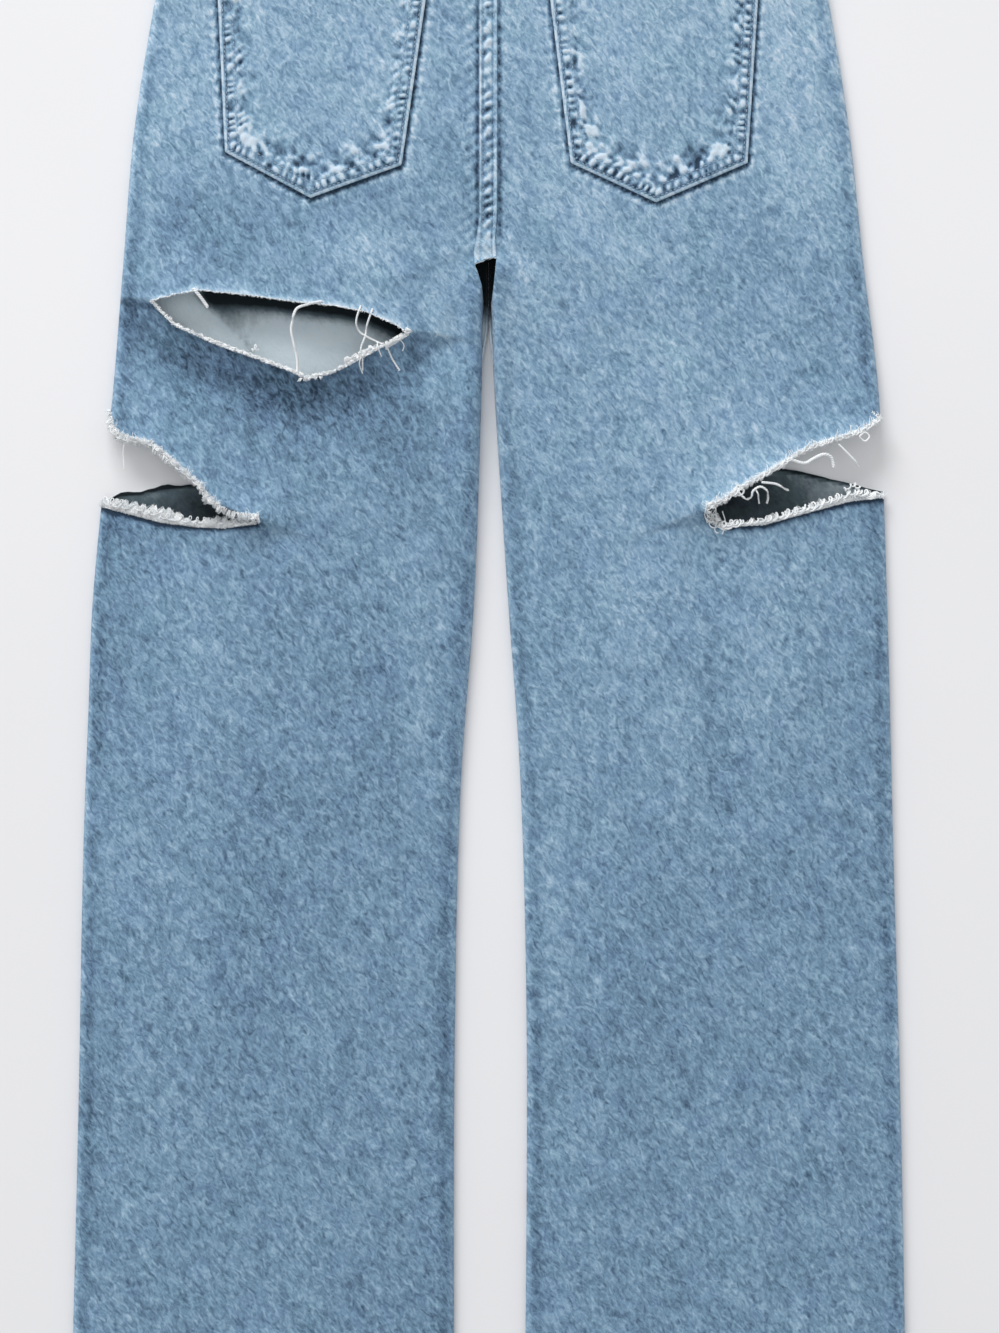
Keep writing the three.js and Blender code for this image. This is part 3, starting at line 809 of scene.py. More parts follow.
frayed = cotton("frayed_cotton", srgb(250, 252, 253), srgb(208, 219, 227))
thread = cotton("tonal_thread", srgb(166, 186, 204), srgb(108, 132, 158), 1400)
tape_cotton = cotton("zip_tape_cotton", srgb(150, 160, 170), srgb(96, 108, 120), 1400)
steel = metal("tarnished_steel", srgb(196, 192, 184))
CLOTH_SET = [face_denim, wrong_side, frayed]


# ---- panels

ROLL = np.linspace(0, math.pi / 2, 8)


def ragged(x, height, seed):
    return 0.5 * noise(x, height, 2.2, seed) + 0.5 * noise(x, height, 5, seed + 1)


def across_leg(columns):
    """Places across a leg's middle, 0 to 1, with room for a roll at each end."""
    part = np.zeros(columns + 2 * len(ROLL))
    part[len(ROLL):-len(ROLL)] = np.linspace(0, 1, columns + 2)[1:-1]
    part[-len(ROLL):] = 1
    return part


def leg_reach(leg, height, inner, columns, outer_width, inner_width):
    """The reach of each column of a panel's grid, dense where its edges roll."""
    outer = leg.outer(height)
    part = across_leg(columns)
    reach = (outer - outer_width) * (1 - part) + (inner + inner_width) * part
    turn = np.zeros(len(part))
    turn[:len(ROLL)] = np.cos(ROLL)
    turn[-len(ROLL):] = np.cos(ROLL[::-1])
    return reach + turn * np.where(part < 0.5, outer_width, -inner_width)


def back_grid(leg, foot, top, share, columns=104):
    """x, height, level and wear with painted light of a back piece between two heights that may vary by
    reach.
    """
    share = share[:, None]
    guess = np.linspace(leg.outer(BAND_FOOT), 0, columns + 2 * len(ROLL))
    height = foot(guess) * (1 - share) + top(guess) * share
    reach = leg_reach(leg, height, leg.inner(height), columns, *roll_widths(height))
    level, wear_and_shade = back_face(leg, reach, height)
    return leg.side * reach, height, level, wear_and_shade


def panel(node, x, height, level, field, wear_and_shade, flip, look=CLOTH_SET, inner_wear_and_shade=None):
    """The cloth of a CAD node, from a grid of places."""
    places = (x, height, level)
    return joins(shell(f"{node}_cloth", places, field, wear_and_shade, flip, look, CLOTH, inner_wear_and_shade), node)


YOKE_GAP = 0.1  # from the seam line to either piece
RIP_HEIGHTS = (-188, 8)  # a back's rows are closest between these


def beside_yoke_seam(above):
    return lambda reach: yoke_seam(reach) + above


def back_panel(leg):
    low, high = RIP_HEIGHTS
    rows = [np.arange(-INSEAM, low, 5), np.arange(low, high, 1.5), np.linspace(high, YOKE_FOOT, 102)]
    share = (np.concatenate(rows) + INSEAM) / (YOKE_FOOT + INSEAM)
    x, height, level, wear_and_shade = back_grid(leg, always(-INSEAM), beside_yoke_seam(-YOKE_GAP), share)
    field = -off_outline(x, height, CROTCH_HOLE)[0]
    for rip in RIPS[leg.side]:
        field = np.minimum(field, -off_outline(x, height, rip.outline)[0] + ragged(x, height, 71))
    return panel(f"back_{leg.name}", x, height, level, field, wear_and_shade, leg.side > 0)


def yoke(leg):
    share = np.linspace(0, 1, 20)
    x, height, level, wear_and_shade = back_grid(leg, beside_yoke_seam(YOKE_GAP), always(BAND_FOOT), share)
    return panel(f"yoke_{leg.name}", x, height, level, 1, wear_and_shade, leg.side > 0)


def pocket_level(leg, reach, height):
    """(level, wear with painted light, depth inside the edge) of a pocket's outer face."""
    seed = 301 if leg.side < 0 else 351
    x = leg.side * reach
    inside, place = off_outline(reach, height, POCKETS[leg.side])
    broad, crinkle = cloth_relief(x, height, 11 if leg.side < 0 else 41)
    relief, wear_and_shade = pocket_relief(inside, place, x, height, seed)
    level = back_level(leg, reach, height) + broad + 0.5 * crinkle + POCKET_STAND + relief
    return level, wear_and_shade + 0.5 * crinkle + 0.1, inside


def pocket(leg):
    step = 1.25
    reach, height = np.meshgrid(np.arange(187, 35, -step), np.arange(38, 217, step))
    level, wear_and_shade, inside = pocket_level(leg, reach, height)
    x = leg.side * reach
    return panel(f"back_pocket_{leg.name}", x, height, level, inside, wear_and_shade, leg.side > 0)


def scoop_edge(leg, reach, height, margin=0):
    """How far a place on the front is outside the pocket opening's scoop."""
    corner = leg.outer(BAND_FOOT)
    wide, deep = SCOOP[0] + margin, SCOOP[1] + margin
    return (np.hypot((corner - reach) / wide, (BAND_FOOT - height) / deep) - 1) * 0.5 * (wide + deep)


def front_inner(leg, height):
    """The reach of a front's inner edge. Under the crotch it lies against the other front."""
    return GAP / 2 + (leg.inner(height) - GAP / 2) * (1 - smooth(height, -72, -34))


# painted shade along a fold in the wrong side, seen through the thigh rip
INSIDE_FOLD_SHADE = [((-186, -24), (-160.5, -57), 6, 0.42), ((-172, -24), (-153, -50), 11, 0.26)]


def inside_shade(x, height):
    """How much darker the fronts' wrong side is painted: shadow under the thigh rip's upper edge, shade
    along a fold, inside the side rips and at the crotch.
    """
    thigh = np.abs(off_outline(x, height, THIGH_RIP[:9], False)[0])
    left_knee = bump(off_segment(x, height, (-250, -162), (-160, -166))[0], 22)
    right_knee = bump(off_segment(x, height, (158, -158), (262, -150))[0], 26)
    # painted shadow under the thigh rip's upper edge, painted shade inside both side rips, and painted
    # shade at the crotch
    return (
        (0.9 * bump(thigh, 6) + 0.68 * bump(thigh, 17)) * (0.15 + 0.85 * smooth(x, -205, -188))
        + ridges(x, height, INSIDE_FOLD_SHADE)
        + left_knee * (0.56 + 0.24 * smooth(x, -240, -190))
        + right_knee * (0.3 + 0.56 * (1 - smooth(x, 176, 244)))
        + 2.4 * bump(np.hypot(x, 0.75 * (height + 6)), 20)
    )


def front_face(leg, reach, height):
    """(level, wear and painted light, and the same of the wrong side) of the front, whose outer face
    lies on the surface.
    """
    x = leg.side * reach
    outer, inner = leg.outer(height), front_inner(leg, height)
    broad, crinkle = cloth_relief(x, height, 81 if leg.side < 0 else 91)
    level = lift(height) + CLEAR + 0.2 * np.maximum(broad + 0.4, 0)
    level = level + SEAM_LEVEL * (1 - rolled(outer - reach, SEAM_LEVEL))
    level = level + SEAM_LEVEL * (1 - rolled(reach - inner, SEAM_LEVEL)) * split(height)
    torn = np.abs(off_outline(x, height, FRONT_RIPS[leg.side])[0])
    faded = 0.55 * np.exp(-(((reach - 132) / 62) ** 2) - ((height + 60) / 240) ** 2)
    # a painted highlight on the rolled rim and painted shade in a band just inside it
    rim = 0.25 * bump(outer - reach - 1.5, 2) - 0.3 * bump(outer - reach - 7, 4)
    mouth = np.abs(scoop_edge(leg, reach, height))
    # painted shade where the fronts meet under the crotch
    painted_crotch_shade = 2.4 * bump(reach - inner, 0.8) * bump(height + 4, 25)
    wear_and_shade = 1.3 * crinkle + faded + rim + 0.8 * bump(torn, 2.2) - painted_crotch_shade
    wear_and_shade = wear_and_shade + 0.7 * bump(mouth - 1, 2.5) - 0.6 * bump(mouth - 6, 2.5)
    if leg is LEFT:
        fly = np.abs(np.hypot(reach, np.maximum(FLY_FOOT + FLY_WIDE - height, 0)) - FLY_WIDE)
        beside = 0.4 * bump(reach, 3) * smooth(height, FLY_FOOT, FLY_FOOT + 10)
        wear_and_shade = wear_and_shade + 0.6 * bump(fly, 2.6) - beside
    inner_wear_and_shade = 0.3 * crinkle + 0.4 * smooth(height, -110, -90) - 1.1 * bump(torn, 1.8)
    # the wrong side is darkened by painted shade
    return level, wear_and_shade, inner_wear_and_shade - inside_shade(x, height)


FRONT_COLUMNS = 54
FRONT_RIP_HEIGHTS = (-170, 4)  # a front's rows are closest between these


def front_panel(leg):
    low, high = FRONT_RIP_HEIGHTS
    heights = [np.arange(-INSEAM, low, 7), np.arange(low, high, 2.4), np.linspace(high, BAND_FOOT, 60)]
    height = np.concatenate(heights)[:, None] + np.zeros(FRONT_COLUMNS + 2 * len(ROLL))
    reach = leg_reach(leg, height, front_inner(leg, height), FRONT_COLUMNS, SEAM_LEVEL, SEAM_LEVEL)
    level, wear_and_shade, inner_wear_and_shade = front_face(leg, reach, height)
    x = leg.side * reach
    field = np.minimum(BAND_FOOT - dip(x) - height - 0.05, scoop_edge(leg, reach, height))
    wavy = ragged(x, height, 73) + 1.3 * noise(x, height, 13, 74)
    field = np.minimum(field, -off_outline(x, height, FRONT_RIPS[leg.side])[0] + wavy)
    look = [face_denim, wrong_side, wrong_side]
    return panel(f"front_{leg.name}", x, height, level, field, wear_and_shade, leg.side < 0, look, inner_wear_and_shade)


def facing(leg):
    """The piece behind a front pocket's opening."""
    step, margin = 2.5, 24
    reach, height = np.meshgrid(np.arange(229, 90, -step), np.arange(188, 292, step))
    reach = np.minimum(reach, leg.outer(height) - 0.5)
    x = leg.side * reach
    level, wear_and_shade, _ = front_face(leg, reach, height)
    field = np.minimum(BAND_FOOT - dip(x) - height - 0.3, -scoop_edge(leg, reach, height, margin))
    field = np.minimum(field, leg.outer(height) - 3 - reach)
    return panel(f"pocket_facing_{leg.name}", x, height, level + FACING_STAND, field, wear_and_shade, leg.side < 0)


backs = {leg: back_panel(leg) for leg in LEGS}
fronts = {leg: front_panel(leg) for leg in LEGS}
yokes = {leg: yoke(leg) for leg in LEGS}
pockets = {leg: pocket(leg) for leg in LEGS}
facings = {leg: facing(leg) for leg in LEGS}


# ---- felled seam of the centre back


def centre_seam():
    """A turned and double-stitched strip over the join of the two backs."""
    share = np.linspace(-1, 1, 27)
    height = np.linspace(1, BAND_FOOT + 1, 280)[:, None] + np.zeros(27)
    across = share * FELL / 2
    flare = 1 - smooth(height, 4, 36)
    x = across - 3.3 * flare * np.maximum(-share, 0)
    x = x - 1.6 * bump(height - 17, 12) * np.maximum(share, 0)
    wave = ripple(height - 0.5 * x, 8.2, 4.5, 17, 501, height) * (0.8 + 0.5 * noise(height, 0, 13, 504))
    blots = noise(x, height, 3.2, 502)
    worn_left, worn_right = (0.75 + 0.7 * noise(height, 0, size, 505 + size) for size in (31, 23))
    left = bump(across + 5.4, 0.9) * np.maximum(worn_left, 0.1) * (0.3 + 0.8 * bump(height - 118, 46))
    right = bump(across - 4.8, 1.0) * np.maximum(worn_right, 0.2) * (0.45 + 0.6 * bump(height - 34, 40))
    grooves = -0.45 * (bump(across + 3.6, 0.7) + bump(across - 2.9, 0.7))
    puckers = bump(across + 0.4, 3.1) * (0.75 * wave + 0.6 * blots) * smooth(height, 10, 30)
    edge = -1.3 * smooth(np.abs(share), 0.93, 1)
    under = 0.5 * (face_at(0 * x - 12, height) + face_at(0 * x + 12, height))
    level = under + 1.0 + 0.45 * (left + right) + grooves + puckers + edge
    level = level - 0.7 * (1 - smooth(height, 0, 14))
    # painted shade in the stitch grooves, and a painted shadow along both edges of the strip
    wear_and_shade = 0.8 * left + 0.85 * right + 1.7 * puckers + 1.1 * grooves + 0.75 * flare
    wear_and_shade = wear_and_shade - 1.3 * smooth(np.abs(share), 0.86, 1) * smooth(height, 10, 22)
    field = height - 0.9 - 5.5 * (x + 9.5) / 15 - 0.8 * noise(x, 0, 3, 503)
    return joins(shell("centre_seam_fell", (x, height, level), field, wear_and_shade, False, CLOTH_SET, 0.9))


fell = centre_seam()


# ---- waistband

BAND_END, BAND_TONGUE, BAND_STEP = 12, -30, (45, 18)
BUTTON_X, BUTTON_HEIGHT = -4, BAND_FOOT + BAND_HEIGHT / 2 - FRONT_DIP


def band_half(leg, height):
    """x and level round one side of the waistband, from the front's side to the centre back."""
    turn = ROLL[::-1]
    reach = leg.outer(height) - SEAM_LEVEL * (1 - np.cos(turn))
    level = LIFT + SEAM_LEVEL * (1 - np.sin(turn))
    outer_width = roll_widths(height)[0]
    straight = np.linspace(outer_width, leg.outer(height), 60)[1:]
    into = np.concatenate([outer_width * (1 - np.cos(ROLL)), straight])
    back = leg.outer(height) - into
    seam = LIFT + SEAM_LEVEL + GAP
    over = seam + (back_level(leg, back, height) - seam) * rolled(into, outer_width)
    x = leg.side * np.concatenate([reach, back[1:]])
    return x, np.concatenate([level, over[1:]]), len(turn)


def band_path(height):
    """x, level and 1 on the front along the waistband at a height."""
    left, right = band_half(LEFT, height), band_half(RIGHT, height)
    start = np.linspace(BAND_END, left[0][0], 70)[:-1]
    end = np.linspace(right[0][0], BAND_STEP[0], 60)[1:]
    step = np.linspace(BAND_STEP[0], BAND_STEP[1], 14)[1:]
    tongue = np.linspace(BAND_STEP[1], BAND_TONGUE, 20)[1:]
    x = np.concatenate([start, left[0], right[0][::-1][1:], end, step, tongue])
    under = BAND_CLOTH + GAP
    climb = smooth(step, BAND_STEP[0], BAND_STEP[0] + 1e-6) + 1 - smooth(step, *BAND_STEP[::-1])
    level = np.concatenate([
        LIFT + 0 * start, left[1], right[1][::-1][1:], LIFT + 0 * end,
        LIFT + under * climb, LIFT + under + 0 * tongue,
    ])
    on_back = np.zeros(len(x))
    first = len(start) + left[2]
    on_back[first:first + len(left[0]) + len(right[0]) - 1 - 2 * left[2]] = 1
    return x, level, 1 - on_back


def waistband():
    """One strap round the waist, whose ends overlap under the button."""
    share = np.linspace(0, 1, 22)
    height = BAND_FOOT + GAP + (BAND_HEIGHT - GAP) * share
    x, level, front = np.array([band_path(row) for row in height]).transpose(1, 0, 2)
    height = height[:, None] - front * dip(x)
    points = np.stack([x, height, level], -1)
    normal = grid_normals(points, False)
    along = np.cumsum(np.hypot(*np.diff(points[0, :, [0, 2]], axis=1, prepend=points[0, :1, [0, 2]])))
    up = share[:, None] * BAND_HEIGHT
    edge = np.minimum(up, BAND_HEIGHT - up)
    wave = ripple(along + 0.9 * up, 9, 2, 20, 601, along)
    puckers = 0.22 * wave * bump(edge - 5, 4) - 0.3 * bump(edge - 2.4, 0.9)
    crinkle = cloth_relief(along + 0 * up, up + 0 * along, 611)[1]
    proud = BAND_PROUD + puckers + crinkle - 0.7 * (1 - smooth(edge, 0, 1.6))
    points = points + normal * proud[..., None]
    points[..., 2] = np.maximum(points[..., 2], CLEAR)
    hole = np.hypot(np.maximum(np.abs(x - BUTTON_X - 6) - 6, 0), height - BUTTON_HEIGHT) - 2.5
    field = np.where(np.arange(x.shape[1]) < 60, hole, 1)
    wear_and_shade = 1.6 * puckers + 1.3 * crinkle + 0.5 * (1 - smooth(edge, 0, 1.6))
    places, look = points.transpose(2, 0, 1), [face_denim] * 3
    return joins(shell("waistband_cloth", places, field, wear_and_shade, False, look, BAND_CLOTH), "waistband")


band = waistband()

LOOP_WIDE, LOOP_CLOTH = 11, 1.6
LOOP_ALONG = (-12, -4, 1, 30, 32, 38)
LOOP_STAND = (GAP - BAND_PROUD, GAP - BAND_PROUD, 1.5, 1.5, GAP, GAP)
BACK_LOOPS, FRONT_LOOPS = (-128, 0, 128), (-98, 98)


def band_level(x, height):
    """The level of the waistband's outer face at the back."""
    left, right = (back_level(leg, np.abs(x), height) for leg in LEGS)
    return np.where(x < 0, left, right) + BAND_PROUD


def loop_stand(along):
    """How far a belt loop's outer face is off the waistband's."""
    return np.interp(along, LOOP_ALONG, LOOP_STAND) + LOOP_CLOTH


def belt_loop(number, middle, on_back):
    """A folded strip over the waistband, sewn down at both ends."""
    along = np.linspace(LOOP_ALONG[0], LOOP_ALONG[-1], 51)[:, None]
    across = np.linspace(-0.5, 0.5, 13) * LOOP_WIDE * (1 if on_back else -1)
    x = middle + across + 0 * along
    dimples = 0.12 * noise(x, 0.6 * along, 2.6, 620 + number)
    stand = loop_stand(along) + dimples - 0.5 * smooth(np.abs(across), 4.4, 5.5)
    height = BAND_FOOT + along + 0 * x
    if on_back:
        level = band_level(x, height) + stand
    else:
        height, level = height - dip(x), np.maximum(LIFT - BAND_PROUD - stand, CLEAR)
    wear_and_shade = 0.4 + 2.2 * dimples + 0.5 * smooth(np.abs(across), 4.2, 5.3)
    name, look = f"belt_loop_{number}", [face_denim, face_denim, frayed]
    return joins(shell(f"{name}_cloth", (x, height, level), 1, wear_and_shade, False, look, LOOP_CLOTH), name)


loops = [belt_loop(i + 1, x, True) for i, x in enumerate(BACK_LOOPS)]
loops += [belt_loop(i + 4, x, False) for i, x in enumerate(FRONT_LOOPS)]


# ---- button and fly

FLY_TOP = BAND_FOOT - FRONT_DIP - 2
TAPE_LEVEL, TAPE_CLOTH, TAPE_HALF = 3.9, 1, 12
SHIELD, SHIELD_FOOT, SHIELD_LEVEL = (-10, 32), FLY_FOOT - 6, TAPE_LEVEL + TAPE_CLOTH + GAP
BUTTON_FACE = [
    (0, 0.7), (2.4, 0.7), (3.0, 0.3), (5.0, 0.3), (5.7, 0), (7.5, 0), (8.2, 0.35), (8.5, 1),
    (8.4, 1.8), (7.6, 2.4), (2, 2.4), (2, 5.7), (0, 5.7),
]
SLIDER_FACE = [
    (0, 5.3), (3.7, 5.3), (4.3, 5.5), (4.5, 5.9), (4.5, 6.7), (4.3, 7.1), (3.7, 7.3), (0, 7.3),
]


def turned(name, profile, place, stretch=1):
    """A turned piece from a profile of (radius, level) points that starts and ends on the axis."""
    count = 48
    turn = np.arange(count) * 2 * math.pi / count
    rings = np.array(profile[1:-1], float)
    x = place[0] + rings[:, :1] * np.cos(turn)
    y = place[1] - CENTRE + stretch * rings[:, :1] * np.sin(turn)
    level = rings[:, 1:] + 0 * x
    ends = [(place[0], place[1] - CENTRE, profile[k][1]) for k in (0, -1)]
    vertices = np.vstack([np.stack([x, y, level], -1).reshape(-1, 3), ends])
    around = [(k, (k + 1) % count) for k in range(count)]
    top = (len(rings) - 1) * count
    walls = [(ring + a, ring + b) for ring in range(0, top, count) for a, b in around]
    faces = [(a, b, b + count, a + count) for a, b in walls]
    faces += [(top + count, b, a) for a, b in around]
    faces += [(top + count + 1, top + a, top + b) for a, b in around]
    return finish(name, vertices * MM, faces, [steel])


def fly_cloth(name, sides, foot, level, thick, look):
    """A strip of cloth behind the fly, which follows the fronts."""
    height = np.linspace(foot, FLY_TOP, 60)[:, None]
    x = np.linspace(sides[1], sides[0], 15)
    ribs = 0.12 * noise(x, height, 3, 640)
    places = (x, height, lift(height) + level + 0.1 + ribs)
    return shell(name, places, 1, 2 * ribs, False, look, thick)


def zip_teeth():
    pitch = 1.3
    count = int((FLY_TOP - FLY_FOOT) / pitch)
    height = FLY_FOOT + pitch * (np.arange(count) + 0.5)
    x = np.where(np.arange(count) % 2, 1, -1)[:, None] * np.array([2.6, 0.6, -0.7])
    level = lift(height)[:, None] + TAPE_LEVEL - np.array([0.35, 0.5, 0.5])
    return tubes("zip_teeth", [(np.stack([x, height[:, None] + 0 * x, level], -1), 0.42)], steel)


def pull():
    turn = np.linspace(0, 2 * math.pi, 25)
    wide, high, level = 1.7, 4.5, 6.2
    path = np.stack([wide * np.sin(turn), FLY_TOP - 17 + high * np.cos(turn), level + 0 * turn], -1)
    return tubes("zip_pull", [(path[None], 0.5)], steel, 6)


joins(turned("waist_button_metal", BUTTON_FACE, (BUTTON_X, BUTTON_HEIGHT)), "waist_button")
joins(turned("zip_slider_metal", SLIDER_FACE, (0, FLY_TOP - 8), 1.33), "zip_slider")
teeth = joins(zip_teeth(), None)
joins(pull(), None)
tape_sides, tape_look = (-TAPE_HALF, TAPE_HALF), [tape_cotton] * 3
tape = fly_cloth("zip_tape_cloth", tape_sides, FLY_FOOT, TAPE_LEVEL, TAPE_CLOTH, tape_look)
joins(tape, "zip_tape")
shield = fly_cloth("fly_shield_cloth", SHIELD, SHIELD_FOOT, SHIELD_LEVEL, CLOTH, CLOTH_SET)
joins(shield, "fly_shield")


# ---- stitches

STITCH, PITCH, THREAD = 2.5, 3.1, 0.25
FELL_ROWS, YOKE_ROWS, LOOP_ROWS = (-3.6, 3.6), (1.8, 8.2), (-3.4, 3.4)
HEM_ROW, SEAM_END = 10, 7  # above the hem, and where rows stop before a side seam


def stitches(points, level, outward=1):
    """Paths of the stitches along a row of (x, height) points."""
    middle, ahead, _ = spaced(points, PITCH)
    along = np.array([-0.5, -0.18, 0.18, 0.5]) * STITCH
    place = middle[:, None] + ahead[:, None] * along[:, None]
    rise = outward * np.array([-0.3, 0.2, 0.2, -0.3])
    return np.dstack([place, level(place[..., 0], place[..., 1]) + rise])


def inset(outline, distance):
    """A clockwise closed outline, moved in."""
    moved = []
    for before, here, after in zip([outline[-1], *outline], outline, [*outline[1:], outline[0]]):
        ways = [np.subtract(here, before), np.subtract(after, here)]
        inward = [np.array((way[1], -way[0])) / math.hypot(*way) for way in ways]
        moved.append(tuple(np.array(here) + distance * sum(inward) / (1 + inward[0] @ inward[1])))
    return moved


def pocket_stitches(leg):
    """Two rows round the pocket and one across its mouth."""
    def level(x, height):
        return pocket_level(leg, np.abs(x), height)[0]

    paths = []
    for distance in POCKET_ROWS:
        corners = inset(POCKETS[leg.side], distance)
        row = [(leg.side * reach, height) for reach, height in [*corners[1:], corners[0]]]
        paths.append(stitches(row, level))
    paths.append(stitches([(leg.side * 44, 194), (leg.side * 178, 199.5)], level))
    return tubes(f"pocket_stitches_{leg.name}", [(path, THREAD) for path in paths], thread)


def row_of(reach, height, leg):
    return list(zip(leg.side * reach, height))


def fell_top(x, height):
    return face_at(0 * x, height) + 0.85


def front_level(x, height):
    """The level of the fronts' stitches, which stay off the surface. It is the same at any x."""
    return lift(height) + 0.45 - 0.5 * smooth(height, 160, 220)


def seam_stitches():
    """The rows along the centre back, the yokes, the hems, the waistband and the fly."""
    paths = [stitches([(x, 24), (x, BAND_FOOT - 2)], fell_top) for x in FELL_ROWS]
    for leg in LEGS:
        reach = np.linspace(9, leg.outer(240) - SEAM_END, 30)
        for above in YOKE_ROWS:
            paths.append(stitches(row_of(reach, yoke_seam(reach) + above, leg), face_at))
        reach = np.linspace(leg.inner(-INSEAM) + SEAM_END, leg.outer(-INSEAM) - SEAM_END, 30)
        hem = row_of(reach, 0 * reach + HEM_ROW - INSEAM, leg)
        paths += [stitches(hem, face_at), stitches(hem, front_level, -1)]
        turn = np.linspace(0.1, math.pi / 2 - 0.1, 20)
        reach = leg.outer(BAND_FOOT) - (SCOOP[0] + 3) * np.cos(turn)
        scoop = row_of(reach, BAND_FOOT - (SCOOP[1] + 3) * np.sin(turn), leg)
        paths.append(stitches(scoop, front_level, -1))
    turn = np.linspace(0, math.pi / 2, 12)
    bend = list(zip(-FLY_WIDE * np.cos(turn), FLY_FOOT + FLY_WIDE * (1 - np.sin(turn))))
    paths.append(stitches([(-FLY_WIDE, FLY_TOP - 4), *bend], front_level, -1))
    x = np.linspace(-183, 183, 60)
    for height in (BAND_FOOT + 3, RISE - 3):
        paths.append(stitches(list(zip(x, height + 0 * x)), band_level))
        front = list(zip(x[:31], height - dip(x[:31]))), list(zip(x[34:], height - dip(x[34:])))
        paths += [stitches(row, lambda a, b: LIFT - BAND_PROUD + 0.1 + 0 * a, -1) for row in front]
    for middle in BACK_LOOPS:
        for across in LOOP_ROWS:
            row = [(middle + across, BAND_FOOT - 10), (middle + across, BAND_FOOT + 36)]
            paths.append(stitches(row, lambda a, b: band_level(a, b) + loop_stand(b - BAND_FOOT)))
    return tubes("seam_stitches", [(path, THREAD) for path in paths], thread)


pocket_rows = {leg: joins(pocket_stitches(leg), None) for leg in LEGS}
joins(seam_stitches(), None)


# ---- frayed edges

LEFT_UPPER = [(-258, -105), *LEFT_BACK_RIP[2:9]]
LEFT_LOWER = [(-263, -162), *LEFT_BACK_RIP[12:9:-1], (-178, -177), LEFT_BACK_RIP[9]]
RIGHT_UPPER = [*RIGHT_BACK_RIP[8:1:-1], (266, -103)]
RIGHT_CORNER = [(147, -165), (149, -173), (160, -179)]
RIGHT_LOWER = [*RIGHT_BACK_RIP[10:12], (211, -168), *RIGHT_BACK_RIP[13:15]]
THIGH_UPPER = THIGH_RIP[:9]
THIGH_LOWER = [THIGH_RIP[0], *THIGH_RIP[:7:-1]]


def aside(ahead):
    """Unit directions to the left of others."""
    return np.stack([-ahead[:, 1], ahead[:, 0]], -1)


def fringe(edge, side, spacing, inset_by, reach, clump, lean, rise, seed, gather=0.7, uneven=0.3):
    """Paths of frayed fibres along an edge, drawn together in clumps.

    side is which way off the edge they point, 1 to the left of its direction. reach gives
    their mean length by x. Tufts that gather little are round."""
    random = np.random.default_rng(seed)
    root, ahead, place = spaced(edge, spacing)
    out = side * aside(ahead)
    group = ((place + 0.3 * clump * random.uniform(-1, 1, len(place))) / clump).astype(int)
    to_middle = np.clip((group + 0.5) * clump - place, -clump, clump)
    count = group.max() + 1
    lean_of = random.normal(0, lean, count)[group]
    length = reach(root[:, 0]) * random.uniform(1 - uneven, 1 + uneven, count)[group]
    length = length * random.uniform(1.1 - 1.67 * uneven, 1.1, len(place))
    length = length * (1 - (0.7 - gather) * (2 * to_middle / clump) ** 2)
    start = root - out * (inset_by * random.uniform(0, 1, len(place)))[:, None]
    sideways = lean_of + gather * to_middle + random.normal(0, 0.5, len(place))
    tip = root + out * length[:, None] + ahead * sideways[:, None]
    bend = ahead * (random.normal(0, 0.22, len(place)) * length)[:, None]
    t = np.linspace(0, 1, 5)[None, :, None]
    flat = start[:, None] * (1 - t) + tip[:, None] * t + bend[:, None] * 4 * t * (1 - t)
    level = face_at(*start.T) + random.uniform(0, 0.7, len(place))
    level = level + random.normal(0, 0.5, count)[group]
    climb = (rise + random.normal(0, 0.7, count)[group])[:, None]
    over = level[:, None] + climb * t[..., 0] ** 1.5 + 0.5 * np.sin(math.pi * t[..., 0])
    radius = np.array([1, 1, 0.95, 0.8, 0.5]) * random.uniform(0.75, 1.25, (len(place), 1))
    return np.dstack([flat, over]), radius


def fringes(thickness, *rows):
    """Fringes from rows of what fringe takes, of fibres this thick."""
    return [(paths, thickness * radius) for paths, radius in (fringe(*row) for row in rows)]


ROUTE_STEP = 0.6  # between the points of a loose yarn's route


def along_route(points, step=ROUTE_STEP):
    """A smooth row of points through a given route."""
    points = np.array(points, float)
    place = np.concatenate([[0], np.cumsum(np.hypot(*np.diff(points, axis=0).T))])
    at = np.arange(0, place[-1] + step / 2, step)
    return np.stack([through(*zip(place, column))(at) for column in points.T], -1), at


def strand(points, rise=0.7):
    """A loose thread laid through points, over the cloth or where the cloth was."""
    route, at = along_route(points)
    over = face_at(*route.T) + rise + 0.3 * np.sin(at / 3)
    return np.column_stack([route, over])[None]


def plied(points, radius, rise=0.7, plies=2, lay=3.4):
    """The plies of a thick thread, twisted round each other."""
    path = strand(points, rise)[0]
    ahead = unit(np.gradient(path, axis=0))
    side = np.cross(ahead, (0, 0, 1))
    up = np.cross(side, ahead)
    turn = np.arange(len(path)) * ROUTE_STEP * 2 * math.pi / lay
    groups = []
    for ply in range(plies):
        phase = turn + ply * 2 * math.pi / plies
        twist = side * np.cos(phase)[:, None] + up * np.sin(phase)[:, None]
        groups.append(((path + 0.55 * radius * twist)[None], 0.6 * radius))
    return groups


